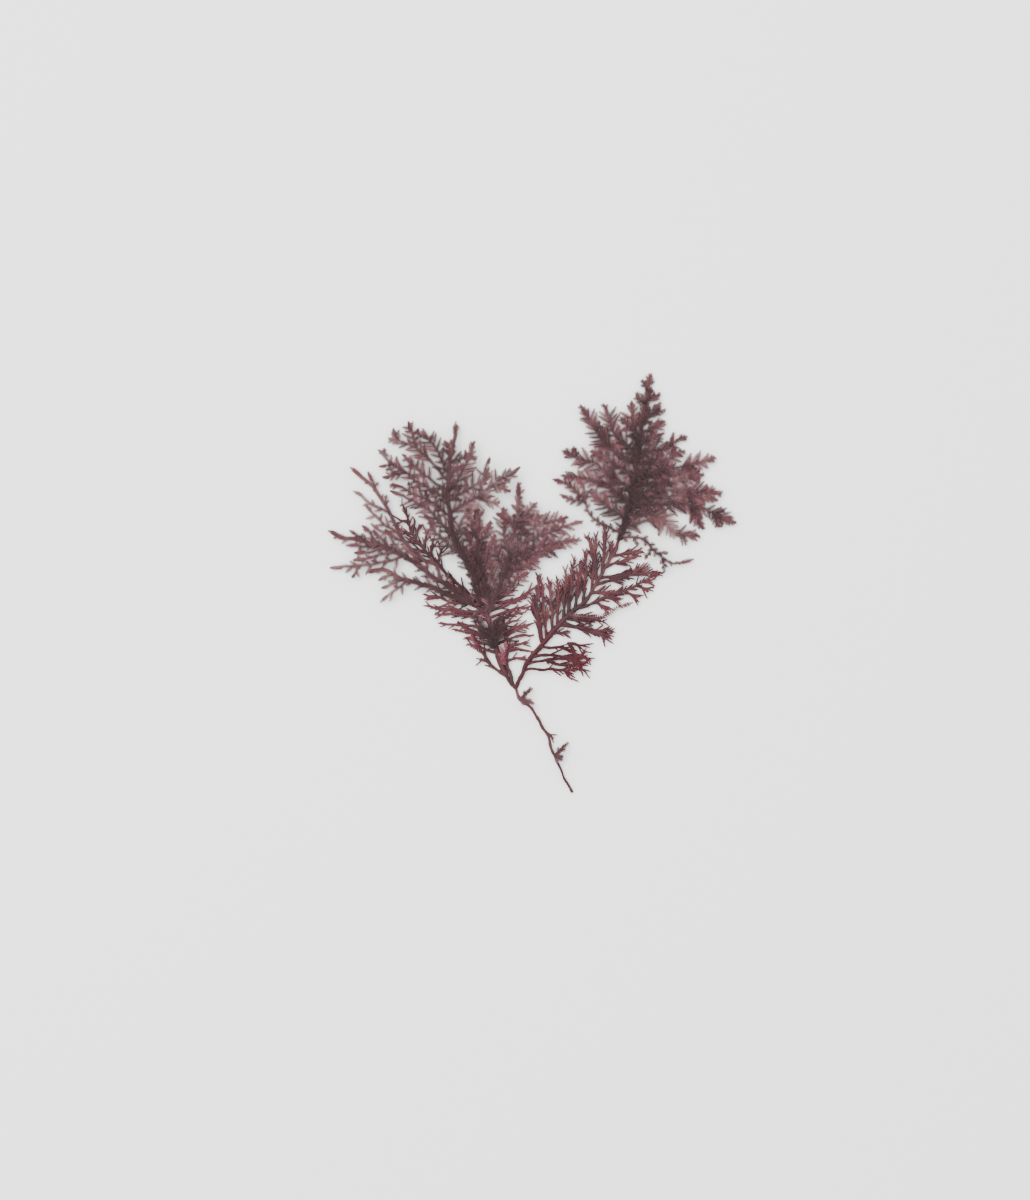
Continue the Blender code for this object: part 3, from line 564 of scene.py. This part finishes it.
# %% [markdown]
# ## The smallest parts
#
# The fine surface is made of small parts that are modelled once and then copied, each copy with a mesh of
# its own, and joined. Each copy may be a little lighter or darker than the next, so its points carry a tone,
# which joining keeps.

# %% Copies and joined pieces
def carry_tone(piece, tone):
    if "tone" not in piece.data.attributes:
        piece.data.attributes.new("tone", "FLOAT", "POINT")
    values = np.zeros(len(piece.data.vertices))
    piece.data.attributes["tone"].data.foreach_get("value", values)
    piece.data.attributes["tone"].data.foreach_set("value", values + tone)


def placed(template, matrix, tone=0.0):
    piece = template.copy()
    piece.data = template.data.copy()
    piece.data.transform(matrix)
    if tone:
        carry_tone(piece, tone)
    bpy.context.scene.collection.objects.link(piece)
    return piece


def joined(name, parts):
    select_only(parts)
    if len(parts) > 1:
        bpy.ops.object.join()
    whole = bpy.context.view_layer.objects.active
    whole.name = whole.data.name = name
    return whole


# %% [markdown]
# A frond's combs are made of thousands of branchlets, each under a millimetre long and curved towards the
# tip. One is modelled here: a three-sided cone, cut across its middle so that the middle can be pushed
# forwards, then laid down to the left of a rib that runs along X. Seven faces are enough for a thing that
# is repeated so often.

# %% One branchlet
BRANCHLET_LENGTH, BRANCHLET_WIDTH, BRANCHLET_THICKNESS = 0.9, 0.38, 0.22
CUT_LEVEL, CUT_SIZE, CUT_SHIFT = 0.05, 1.7, -0.07
BRANCHLET_LEAN = 56
PITCH = 0.4


def model_branchlet():
    start_fresh()
    bpy.ops.mesh.primitive_cone_add(vertices=3, radius1=BRANCHLET_WIDTH / 2 * MM, radius2=0,
                                    depth=BRANCHLET_LENGTH * MM, location=(0, 0, 0))
    made = bpy.context.active_object
    made.name = "branchlet"
    bpy.ops.object.mode_set(mode="EDIT")
    bpy.ops.mesh.select_all(action="SELECT")
    bpy.ops.mesh.bisect(plane_co=(0, 0, CUT_LEVEL * MM), plane_no=(0, 0, 1))
    bpy.ops.transform.resize(value=(CUT_SIZE, CUT_SIZE, 1))
    bpy.ops.transform.translate(value=(CUT_SHIFT * MM, 0, 0))
    bpy.ops.object.mode_set(mode="OBJECT")
    made.data.transform(
        Matrix.Rotation(math.radians(BRANCHLET_LEAN - 90), 4, "Z")
        @ Matrix.Rotation(math.radians(-90), 4, "X")
        @ Matrix.Diagonal((1, BRANCHLET_THICKNESS / BRANCHLET_WIDTH, 1, 1))
        @ Matrix.Translation((0, 0, BRANCHLET_LENGTH / 2 * MM)))
    bpy.ops.object.shade_smooth()
    carry_tone(made, 0.0)
    return made


branchlet = model_branchlet()
RIGHT_SIDE = Matrix.Rotation(math.radians(180), 4, "X")
print("branchlet faces:", len(branchlet.data.polygons), "points:", len(branchlet.data.vertices))

# %% [markdown]
# A comb is a short rib with branchlets on both sides, in turn left and right, shorter at its root and drawn
# in to a blunt tip, where three small ones make a fan. Four sizes are made, and every comb on the plant is a
# copy of one of them.

# %% Combs
COMB_PAIRS = (3, 5, 7, 9)
SPINE_WIDTH, SPINE_FLATNESS, SPINE_TONE = 0.32, 0.8, -0.35
SPINE_END, CLOSE = 0.5, 0.01
FIRST_BRANCHLET = 0.35
TIP_FAN, TIP_SIZE, FAN_SETBACK, FAN_REACH = (-32, 0, 32), 0.66, 0.15, 0.4


def comb_swell(share):
    swell = 0.8 + 0.2 * math.sin(math.pi * min(1.0, share * 1.2))
    return swell * (1 - 0.4 * max(0.0, share - 0.75) / 0.25)


def model_comb(pairs):
    length = pairs * PITCH
    start_fresh()
    bpy.ops.mesh.primitive_cylinder_add(vertices=6, radius=SPINE_WIDTH / 2 * MM, depth=length * MM,
                                        location=(0, 0, length / 2 * MM))
    spine = bpy.context.active_object
    bpy.ops.object.mode_set(mode="EDIT")
    bpy.ops.mesh.bisect(plane_co=(0, 0, (length - SPINE_WIDTH / 3) * MM), plane_no=(0, 0, 1))
    bpy.ops.object.mode_set(mode="OBJECT")
    bpy.ops.object.transform_apply(location=True, rotation=True, scale=True)
    for point in spine.data.vertices:
        if point.co.z > (length - CLOSE) * MM or point.co.z < CLOSE * MM:
            point.co.x *= SPINE_END
            point.co.y *= SPINE_END
    lying = Matrix.Rotation(math.radians(90), 4, "Y")
    spine.data.transform(Matrix.Diagonal((1, 1, SPINE_FLATNESS, 1)) @ lying)
    bpy.ops.object.shade_smooth()
    carry_tone(spine, SPINE_TONE)
    parts = [spine]
    for k in range(2 * pairs):
        along = (0.5 * k + FIRST_BRANCHLET) * PITCH
        size = comb_swell(along / length)
        side = Matrix.Identity(4) if k % 2 else RIGHT_SIDE
        parts.append(placed(branchlet, Matrix.Translation((along * MM, 0, 0)) @ side @ Matrix.Scale(size, 4)))
    for turn in TIP_FAN:
        turned = Matrix.Rotation(math.radians(turn - BRANCHLET_LEAN), 4, "Z") @ Matrix.Scale(TIP_SIZE, 4)
        parts.append(placed(branchlet, Matrix.Translation(((length - FAN_SETBACK) * MM, 0, 0)) @ turned))
    made = joined(f"comb_of_{pairs}", parts)
    made["length"] = length + FAN_REACH
    return made


combs = [model_comb(pairs) for pairs in COMB_PAIRS]
print("comb lengths:", [round(comb["length"], 2) for comb in combs])

# %% [markdown]
# The ribs themselves carry branchlets from root to tip. A pair of them, one to each side, is repeated by an
# Array modifier and laid along the rib's own curve by a Curve modifier, which also scales it by the curve's
# radius, so that the row tapers towards the rib's tip.

# %% A row of branchlets along a rib
pair = joined("pair", [placed(branchlet, Matrix.Identity(4)),
                       placed(branchlet, Matrix.Translation((PITCH / 2 * MM, 0, 0)) @ RIGHT_SIDE)])


def curve_through(name, lines):
    data = bpy.data.curves.new(name, "CURVE")
    data.dimensions = "3D"
    data.twist_mode = "Z_UP"
    data.use_radius = True
    for points, radii in lines:
        spline = data.splines.new("POLY")
        spline.points.add(len(points) - 1)
        for point, place, radius in zip(spline.points, points, radii):
            point.co = (place[0] * MM, place[1] * MM, place[2] * MM, 1)
            point.radius = radius
    made = bpy.data.objects.new(name, data)
    bpy.context.scene.collection.objects.link(made)
    return made


def apply_all(piece):
    select_only([piece])
    for modifier in list(piece.modifiers):
        bpy.ops.object.modifier_apply(modifier=modifier.name)


def row_along(points, radii, length, pitch):
    guide = curve_through("guide", [(points, radii)])
    row = placed(pair, Matrix.Identity(4))
    array = row.modifiers.new("Row", "ARRAY")
    array.use_relative_offset = False
    array.use_constant_offset = True
    array.constant_offset_displace = (pitch * MM, 0, 0)
    array.count = max(1, int(length / pitch))
    wrap = row.modifiers.new("Along", "CURVE")
    wrap.object = guide
    wrap.deform_axis = "POS_X"
    apply_all(row)
    bpy.data.objects.remove(guide)
    return row


print("a pair has", len(pair.data.polygons), "faces")

# %% [markdown]
# Ribs are flattened tubes: a small ellipse, swept along each rib and scaled by the radius at each point.
# All the ribs of a frond are splines of one curve, which is then made a mesh.

# %% Ribs
start_fresh()
bpy.ops.curve.primitive_bezier_circle_add(radius=MM)
rib_section = bpy.context.active_object
rib_section.name = "rib_section"
rib_section.data.resolution_u = 2
RIB_FLATNESS = 0.7


def rib_tubes(name, lines):
    tubes = curve_through(name, lines)
    tubes.data.bevel_mode = "OBJECT"
    tubes.data.bevel_object = rib_section
    tubes.data.use_fill_caps = True
    select_only([tubes])
    bpy.ops.object.convert(target="MESH")
    whole = bpy.context.active_object
    for polygon in whole.data.polygons:
        polygon.use_smooth = True
    carry_tone(whole, 0.0)
    return whole


for point in rib_section.data.splines[0].bezier_points:
    point.co.y *= RIB_FLATNESS
    point.handle_left.y *= RIB_FLATNESS
    point.handle_right.y *= RIB_FLATNESS
print("rib section is", RIB_FLATNESS, "as high as wide")

# %% [markdown]
# ## Dressing a feathery frond
#
# A frond is put together in four steps: tubes for its ribs, rows of branchlets along them, combs on both
# sides of every rib, and the age of each point, which the finish reads. A comb has its root on the rib and
# leans forwards, as branches do, and `standing` gives the place and the turn of a copy that stands there.

# %% Where a comb stands
def at(path, reach):
    place = min(max(reach / FINE_STEP, 0.0), len(path) - 1.001)
    k = int(place)
    step = path[k + 1] - path[k]
    return path[k] + step * (place - k), step / abs(step)


def leaning(heading, angle, side, spread, draw):
    turn = cmath.exp(1j * math.radians(angle))
    return heading * (turn if side == 1 else turn.conjugate()) * cmath.exp(1j * draw.gauss(0, spread))


def standing(root, level, way):
    moved = Matrix.Translation((root.real * MM, root.imag * MM, level * MM))
    return moved @ Matrix.Rotation(cmath.phase(way), 4, "Z")


print("halfway along a rib of 10 mm is the point", at(bowed(0j, 10 + 0j, 0), 5)[0])

# %% [markdown]
# The combs are longest midway along a rib and short on its last few millimetres, so that it ends in a slim
# finger. Where a comb would reach far over the next rib it is made shorter.

# %% How long a comb is
LONGEST_COMB, AXIS_COMB, TIP_COMB, SHORTEST_COMB = 4.6, 3.2, 2.0, 0.8
COMB_GROWTH, FINGER = 0.16, 5.0
COMB_LEAN, CROSSING = 46, 0.34


def comb_length(rib, reach):
    longest = AXIS_COMB if rib.order == 0 else min(LONGEST_COMB, TIP_COMB + COMB_GROWTH * rib.length)
    swell = math.sin(math.pi * min(1.0, 0.3 + 0.75 * reach / rib.length)) ** 0.8
    finger = min(1.0, 0.5 + 0.5 * (rib.length - reach) / FINGER)
    return (TIP_COMB + (longest - TIP_COMB) * swell) * finger


def with_room(root, way, length, others):
    sideways = math.sin(math.radians(COMB_LEAN))
    while length > SHORTEST_COMB:
        gap = np.min(np.abs(others - root - way * length)) if len(others) else math.inf
        if gap > CROSSING * length * sideways:
            return length
        length *= 0.85
    return length


print("the longest combs reach", LONGEST_COMB, "mm")

# %% [markdown]
# The combs follow each other at an even pace, now on one side and now on the other, and each is a little
# off in place, lean, length, roll and tone. Where a slow noise is low a patch of them is left out, because
# the real fronds are full of small gaps. One more comb makes the tip of the rib.

# %% The combs of a frond
LEAN_SPREAD, ROLL_SPREAD, PITCH_SPREAD = 0.16, 0.3, 0.04
FIRST_COMB, PACE_SPREAD, LENGTH_SPREAD = 0.5, 0.3, (0.7, 1.2)
HOP, TONE_SPREAD, GAP_SCALE = 0.15, 0.34, 5.0
END_SETBACK, END_STEP, END_ROLL = 0.3, 4, 0.1


def frond_combs(ribs, lifts, draw, habit):
    placed_combs = []
    gap_slice = draw.uniform(0, 9)
    for rib, lift in zip(ribs, lifts):
        others = np.array([p for other in ribs if other is not rib for p in other.path[2:]])
        pace = habit["spacing"] / rib.weight
        scale = habit["size"] * rib.weight
        for k in range(int((rib.length - FIRST_COMB) / pace)):
            reach = FIRST_COMB + (k + draw.uniform(-PACE_SPREAD, PACE_SPREAD)) * pace
            root, heading = at(rib.path, reach)
            way = leaning(heading, COMB_LEAN, 1 if k % 2 else -1, LEAN_SPREAD, draw)
            wanted = scale * comb_length(rib, reach) * draw.uniform(*LENGTH_SPREAD)
            length = with_room(root, way, wanted, others)
            gap = noise.noise(Vector((root.real / GAP_SCALE, root.imag / GAP_SCALE, gap_slice)))
            roll = draw.gauss(0, ROLL_SPREAD)
            pitch = draw.gauss(0, PITCH_SPREAD)
            hop = draw.uniform(-HOP, HOP)
            tone = draw.gauss(0, TONE_SPREAD)
            inner, outer = habit["gaps"]
            if gap < inner + (outer - inner) * reach / rib.length:
                continue
            template = min(combs, key=lambda comb: abs(comb["length"] - length))
            level = level_at(rib, root)
            fall = level_at(rib, root + way * length) - level
            placed_combs.append(placed(
                template,
                standing(root, level + lift + hop, way)
                @ Matrix.Rotation(-math.atan2(fall, length) + pitch, 4, "Y")
                @ Matrix.Rotation(roll, 4, "X")
                @ Matrix.Scale(length / template["length"], 4), tone))
        tip, heading = at(rib.path, rib.length)
        template = combs[min(len(combs) - 1, int(scale * rib.length / END_STEP))]
        root = tip - heading * (template["length"] - END_SETBACK)
        rolled = Matrix.Rotation(draw.gauss(0, END_ROLL), 4, "X")
        placed_combs.append(placed(template, standing(root, level_at(rib, tip) + lift, heading) @ rolled))
    return placed_combs


print("the noise that leaves gaps changes over", GAP_SCALE, "mm")

# %% [markdown]
# A rib thins from root to tip and is never quite even. Where a frond starts one storey up, its root bends
# down towards the host in a small holdfast.

# %% The line of a rib
AXIS_THICKNESS, RIB_THICKNESS = 0.9, 0.6
RIB_STEP, UNEVEN = 0.8, 0.4
HOLDFAST_DROP, HOLDFAST_LENGTH = 0.8, 1.6


def lift_of(rib, between, draw):
    return AXIS_THICKNESS / 2 if rib.order == 0 else draw.uniform(*between) + RIB_THICKNESS / 2


def blunt(count):
    return [1.0] * (count - 2) + [0.8, 0.35]


def holdfast_drop(rib, walked):
    if rib.order or height(rib.lie, 0) < LANE_1:
        return 0.0
    return HOLDFAST_DROP * max(0.0, 1 - walked / HOLDFAST_LENGTH)


def rib_line(rib, lift, radii):
    path = evenly(rib.path, RIB_STEP)
    shares = np.linspace(0, 1, len(path))
    levels = [level_at(rib, p) + lift - holdfast_drop(rib, share * rib.length)
              for p, share in zip(path, shares)]
    points = [(p.real, p.imag, level) for p, level in zip(path, levels)]
    uneven = [1 + UNEVEN * noise.noise(Vector((p.real, p.imag, lift))) for p in path]
    widths = np.interp(shares, np.linspace(0, 1, len(radii)), radii) * blunt(len(path)) * uneven
    return points, widths


print("ribs have a ring every", RIB_STEP, "mm")

# %% [markdown]
# The youngest parts of a frond are the tips of its side ribs. A painted shade is darkest along the axis and
# at the root of each side rib, where the branchlets crowd and overlap, and a real dark mark is left at the
# very tips, where the growing point has dried dark. `mark_age` finds the nearest place on a rib for each
# point of the mesh and writes both values there.

# %% The age, stain and painted shade of each place on a frond
DARKEST, TIP_DARKNESS, TIP_STAIN = 0.95, 0.6, 0.8
# Widths and reach of the painted shade along the axes and the side ribs.
AXIS_SHADE_WIDTH, RIB_SHADE_WIDTH, ROOT_WIDENING, SHADE_REACH = 2.3, 1.0, 1.2, 7.0
EDGE_YOUTH = 0.1


def youth_along(rib, share):
    if rib.order == 0:
        return 0.5 * share ** 2
    if rib.order == 1:
        return 0.05 + 0.6 * share ** 1.5
    return 0.3 + 0.45 * share


# Painted shade along the axis and the side ribs, strongest at their roots; only the dark tips are a real mark
# of the dried growing point.
def frond_stain_and_shade(rib, share, place):
    if rib.order == 0:
        return DARKEST * (1 - share ** 2), AXIS_SHADE_WIDTH
    walked = share * rib.length
    tip = TIP_DARKNESS if rib.length - walked < TIP_STAIN else 0.0
    width = RIB_SHADE_WIDTH + ROOT_WIDENING * max(0.0, 1 - walked / SHADE_REACH)
    return max(tip, DARKEST * (1 - 0.7 * share)), width


def mark_age(piece, ribs, stain_and_shade_along):
    spots = []
    for rib in ribs:
        for k, p in enumerate(rib.path):
            share = k / (len(rib.path) - 1)
            stain_and_shade, width = stain_and_shade_along(rib, share, p)
            spots.append((p, rib.freshness + youth_along(rib, share), rib.darkness * stain_and_shade, width))
    tree = KDTree(len(spots))
    for k, (p, _, _, _) in enumerate(spots):
        tree.insert((p.real, p.imag, 0), k)
    tree.balance()
    places = np.empty(len(piece.data.vertices) * 3)
    piece.data.vertices.foreach_get("co", places)
    tones = np.empty(len(piece.data.vertices))
    piece.data.attributes["tone"].data.foreach_get("value", tones)
    piece.data.attributes.remove(piece.data.attributes["tone"])
    youths, stain_and_shade_values = [], []
    for (x, y, _), tone in zip(places.reshape(-1, 3) / MM, tones):
        _, k, away = tree.find((x, y, 0))
        _, youth, stain_and_shade, width = spots[k]
        youths.append(youth + EDGE_YOUTH * away + tone)
        stain_and_shade_values.append(stain_and_shade * max(0.0, 1 - away / width))
    for name, values in [("youth", youths), ("stain_and_shade", stain_and_shade_values)]:
        piece.data.attributes.new(name, "FLOAT", "POINT").data.foreach_set("value", values)


# The dark band along an axis is a painted shade.
print("the stain along an axis is", 2 * AXIS_SHADE_WIDTH, "mm wide")

# %% [markdown]
# `feathery_frond` takes the four steps in turn and joins what they make into one piece, which replaces the
# solid of that name. The thick axes get two rows of branchlets, a wide one and above it a narrower one, and
# every other rib gets a single row. A slim axis is a young one, so it is fresher in colour than the rest of
# its frond.

# %% A whole frond
AXIS_RADII, SIDE_RADII, TWIG_RADII = (0.4, 0.22), (0.2, 0.15), (0.18, 0.15)
RIB_LIFT = (0.2, 0.5)
AXIS_FRINGE = 1.6
WIDE_ROW, NARROW_ROW, SINGLE_RISE = (1.0, 0.1), (0.75, 0.28), 0.06
SLIM, SLIM_FRESHNESS = 0.5, 0.5


def fringe(points, root_size, tip_size, rise, length, pitch=PITCH):
    last = len(points) - 1
    sizes = [(root_size + (tip_size - root_size) * k / last) * min(1.0, 0.5 + 0.25 * (last - k))
             for k in range(last + 1)]
    return row_along([(x, y, z + rise) for x, y, z in points], sizes, length, pitch)


def finish_piece(piece, material, node):
    piece.data.materials.clear()
    piece.data.materials.append(material)
    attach(piece, "root")
    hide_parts(node)
    return len(piece.data.polygons)


def feathery_frond(node, plan, lies, twigs, habit, material, seed):
    draw = random.Random(seed)
    ribs = grow(plan, lies, twigs)
    for rib in ribs:
        weight = habit["weights"].get(rib.number, 1.0)
        rib.weight = weight if rib.order == 0 else (1 + weight) / 2
        rib.darkness = habit["darkness"] * rib.weight
        rib.freshness = habit["freshness"] + SLIM_FRESHNESS * (1 - weight)
    lifts = [lift_of(rib, RIB_LIFT, draw) for rib in ribs]
    lines = []
    for rib, lift in zip(ribs, lifts):
        radii = [rib.weight * radius for radius in (AXIS_RADII, SIDE_RADII, TWIG_RADII)[rib.order]]
        lines.append(rib_line(rib, lift, radii))
    parts = [rib_tubes(node + "_ribs", lines)]
    for rib, (points, _) in zip(ribs, lines):
        if rib.order == 0 and rib.weight > SLIM:
            parts.append(fringe(points, AXIS_FRINGE * habit["size"] * rib.weight, *WIDE_ROW, rib.length))
            parts.append(fringe(points, habit["size"] * rib.weight, *NARROW_ROW, rib.length))
        else:
            size = habit["size"] * (0.6 + 0.45 * rib.weight)
            parts.append(fringe(points, size, 0.9 * size, SINGLE_RISE, rib.length, habit["pitch"]))
    parts += frond_combs(ribs, lifts, draw, habit)
    frond = joined(node + "_fine", parts)
    mark_age(frond, ribs, frond_stain_and_shade)
    faces = finish_piece(frond, material, node)
    print(node, "has", len(ribs), "ribs and", faces, "faces")


print("an axis is", 2 * AXIS_RADII[0], "mm wide at its root")

# %% [markdown]
# The fronds of one plant differ in habit. The plumes are thick, the outer frond is lacy and pale, the tuft
# on the arm is short and dark, and the sprigs are slim. A habit is a set of values: the spacing and size of
# the combs, the pitch of the branchlets on a slim rib, the weight of single axes, how dark and how fresh
# the frond is, and how low the noise may fall before a comb is left out, at the root of a rib and at its
# tip.

# %% Habits
HABIT = {"spacing": 0.72, "size": 1.0, "pitch": PITCH, "weights": {}, "darkness": 1.0, "freshness": 0.0,
         "gaps": (-0.5, -0.45)}
OPEN = {**HABIT, "spacing": 0.8, "darkness": 0.9, "freshness": 0.05, "gaps": (-0.45, -0.05)}
LACY = {**HABIT, "spacing": 1.6, "size": 0.95, "weights": {0: 0.65}, "darkness": 0.75, "freshness": 0.24,
        "gaps": (-0.45, -0.35)}
TUFT = {**HABIT, "spacing": 0.5, "size": 1.7, "darkness": 0.9, "freshness": -0.5}
SPRIG = {**HABIT, "spacing": 0.9, "size": 0.7, "darkness": 0.3, "freshness": 0.1}
BARE = {**HABIT, "spacing": 4.0, "size": 1.6, "pitch": 0.65, "weights": {0: SLIM}, "darkness": 0.4,
        "freshness": 0.1}
ROSY = {**HABIT, "spacing": 1.1, "size": 1.3, "pitch": 0.6, "weights": {0: SLIM, 1: SLIM}, "darkness": 0.4}
TALL = {**HABIT, "spacing": 0.6, "size": 1.08, "weights": {1: SLIM, 2: SLIM}}
MIDDLE = {**HABIT, "darkness": 0.7, "freshness": 0.1}
print("a comb every", TALL["spacing"], "mm on the tall plume and", LACY["spacing"], "mm on the outer frond")

# %% [markdown]
# One rule grows all ten feathery fronds from a plan, a lie, twigs and a habit. Each frond has a random seed
# of its own, so that a change to one leaves the others as they are.

# %% All the feathery fronds
for node, plan, lies, twigs, habit, seed in [
        ("right_plume", RIGHT_PLUME_PLAN, RIGHT_PLUME_LIE, RIGHT_PLUME_TWIGS, TALL, 3),
        ("left_plume", LEFT_PLUME_PLAN, LEFT_PLUME_LIE, LEFT_PLUME_TWIGS, OPEN, 5),
        ("middle_frond", MIDDLE_PLAN, MIDDLE_LIE, [], MIDDLE, 7),
        ("left_outer_frond", LEFT_OUTER_PLAN, LEFT_OUTER_LIE, LEFT_OUTER_TWIGS, LACY, 9),
        ("stem_tuft", STEM_TUFT_PLAN, TUFT_LIE, [], TUFT, 10),
        ("tip_sprig", TIP_SPRIG_PLAN, FLAT_SPRIG_LIE, [], BARE, 11),
        ("upper_stem_sprig", UPPER_STEM_PLAN, SPRIG_LIE, [], SPRIG, 13),
        ("lower_stem_sprig", LOWER_STEM_PLAN, SPRIG_LIE, [], SPRIG, 15)]:
    feathery_frond(node, plan, lies, twigs, habit, frond_purple, seed)
feathery_frond("left_rose_sprig", LEFT_ROSE_PLAN, FLAT_SPRIG_LIE, [], ROSY, rose_tuft, 17)
feathery_frond("right_rose_sprig", RIGHT_ROSE_PLAN, FLAT_SPRIG_LIE, [], ROSY, rose_tuft, 19)

# %% [markdown]
# ## The host plant
#
# The host has no combs. Its ribs are flat wires, and most of each bears short, blunt tongues on both sides.
# One tongue is modelled from a six-sided prism: it is cut across three times, and each new ring is resized
# and moved a little to the side, so that the tongue curves. Its ends are drawn in.

# %% One tongue of the host
TONGUE_LENGTH, TONGUE_WIDTH = 3.2, 0.46
TONGUE_RINGS = [(-0.25, 1.1, 0.0), (0.05, 1.0, 0.16), (0.35, 0.92, 0.16)]
END_SHARE, END_SIZE = 0.45, 0.6


def model_tongue():
    start_fresh()
    bpy.ops.mesh.primitive_cylinder_add(vertices=6, radius=TONGUE_WIDTH / 2 * MM, depth=TONGUE_LENGTH * MM)
    made = bpy.context.active_object
    made.name = "tongue"
    bpy.ops.object.mode_set(mode="EDIT")
    for level, size, shift in TONGUE_RINGS:
        bpy.ops.mesh.select_all(action="SELECT")
        bpy.ops.mesh.bisect(plane_co=(0, 0, level * TONGUE_LENGTH * MM), plane_no=(0, 0, 1))
        bpy.ops.transform.resize(value=(size, size, 1))
        bpy.ops.transform.translate(value=(shift * MM, 0, 0))
    bpy.ops.object.mode_set(mode="OBJECT")
    for point in made.data.vertices:
        if abs(point.co.z) > END_SHARE * TONGUE_LENGTH * MM:
            point.co.x *= END_SIZE
            point.co.y *= END_SIZE
    from_root = Matrix.Translation((0, 0, TONGUE_LENGTH / 2 * MM))
    made.data.transform(Matrix.Rotation(math.radians(90), 4, "Y") @ from_root)
    bpy.ops.object.shade_smooth()
    carry_tone(made, 0.0)
    return made


tongue = model_tongue()
print("a tongue has", len(tongue.data.polygons), "faces")
print("it reaches", [round(side * 1000, 2) for side in tongue.dimensions], "mm")

# %% [markdown]
# The host and the crimson spray are built alike, so they share one function and differ in habit. On the
# host the stain is a wine red that has run along the right arm beside the crimson spray.

# %% Tongues along a rib
HOST_LIFT = (0.04, 0.3)
TONGUE_LEAN, TONGUE_SPREAD, TONGUE_ROLL = 22, 0.12, 0.2
TONGUE_SIZES, TONGUE_CHANCE = (0.6, 1.2), 0.85
CRIMSON_PLACE, CRIMSON_REACH, CRIMSON_WIDTH = complex(5.5, 9.0), 13.0, 3.0


def rib_tongues(rib, lift, draw, habit):
    tongues = []
    pace = habit["spacing"] / rib.weight
    for k in range(int(rib.length / pace)):
        reach = (k + draw.uniform(0.1, 0.9)) * pace
        root, heading = at(rib.path, reach)
        side = 1 if k % 2 else -1
        way = leaning(heading, TONGUE_LEAN, side, TONGUE_SPREAD, draw)
        scale = habit["size"] * draw.uniform(*TONGUE_SIZES) * min(1.0, 1.5 - reach / rib.length)
        kept = draw.random() < TONGUE_CHANCE
        if reach / rib.length < habit["first"] or not kept:
            continue
        rolled = Matrix.Rotation(draw.gauss(0, TONGUE_ROLL), 4, "X")
        turned = Matrix.Identity(4) if side == 1 else RIGHT_SIDE
        girth = 0.6 + 0.4 * scale
        tongues.append(placed(
            tongue,
            standing(root, level_at(rib, root) + lift, way) @ rolled @ turned
            @ Matrix.Diagonal((scale, girth, girth, 1)),
            draw.gauss(0, TONE_SPREAD)))
    return tongues


def host_stain(rib, share, place):
    near = 1 - abs(place - CRIMSON_PLACE) / CRIMSON_REACH
    return (max(0.0, min(1.0, 2 * near)) if rib.number == 1 else 0.0), CRIMSON_WIDTH


print("red stain runs", CRIMSON_REACH, "mm along the arm")

# %% [markdown]
# The stem and the two arms bear no tongues of their own, only their side ribs do. The arms are thickest a
# little past the fork, and the ribbons of the crimson spray are nearly as wide at the tip as at the root.

# %% Host and crimson spray
def wiry_frond(node, plan, lies, twigs, habit, material, seed):
    draw = random.Random(seed)
    ribs = grow(plan, lies, twigs)
    lifts = [lift_of(rib, HOST_LIFT, draw) for rib in ribs]
    lines = []
    for rib, lift in zip(ribs, lifts):
        rib.weight = habit["weights"].get(rib.number, 1.0)
        rib.freshness = habit["freshness"].get(rib.number, 0.0)
        axis_radii = habit["axis_radii"][min(rib.number, len(habit["axis_radii"]) - 1)]
        lines.append(rib_line(rib, lift, axis_radii if rib.order == 0 else habit["side_radii"]))
    parts = [rib_tubes(node + "_ribs", lines)]
    for rib, lift in zip(ribs, lifts):
        if rib.order or rib.number >= habit["bare_axes"]:
            parts += rib_tongues(rib, lift, draw, habit)
    frond = joined(node + "_fine", parts)
    mark_age(frond, ribs, habit["stain_and_shade"])
    faces = finish_piece(frond, material, node)
    print(node, "has", len(ribs), "ribs and", faces, "faces")


STIPE_RADII = (0.36, 0.42, 0.55)
ARM_RADII = (0.5, 0.85, 0.75, 0.5, 0.42)
BRANCH_RADII = (0.5, 0.45, 0.3)

WIRY = {
    "axis_radii": (STIPE_RADII, ARM_RADII, ARM_RADII, BRANCH_RADII), "side_radii": (0.5, 0.42, 0.3),
    "spacing": 0.6, "size": 1.05, "first": 0.16, "bare_axes": 3, "stain_and_shade": host_stain,
    "weights": {1: 1.4, 2: 0.45, 3: 0.6, 4: 0.6, 5: 0.7, 6: 0.7},
    "freshness": {0: 0.15, 2: 0.2, 3: 0.2, 4: 0.2}}
RIBBONED = {
    "axis_radii": ((0.45, 0.4),), "side_radii": (0.4, 0.36),
    "spacing": 0.95, "size": 1.15, "first": 0.3, "bare_axes": 0, "stain_and_shade": frond_stain_and_shade,
    "weights": {}, "freshness": {}}

wiry_frond("host_stem", HOST_PLAN, HOST_LIE, HOST_TWIGS, WIRY, host_wine, 21)
wiry_frond("crimson_spray", CRIMSON_PLAN, CRIMSON_LIE, CRIMSON_TWIGS, RIBBONED, crimson_blade, 23)

# %% [markdown]
# The small parts that were only copied from aren't pieces of the plant, so they go.

# %% Tidy up
for template in [branchlet, pair, tongue, rib_section] + combs:
    bpy.data.objects.remove(template)
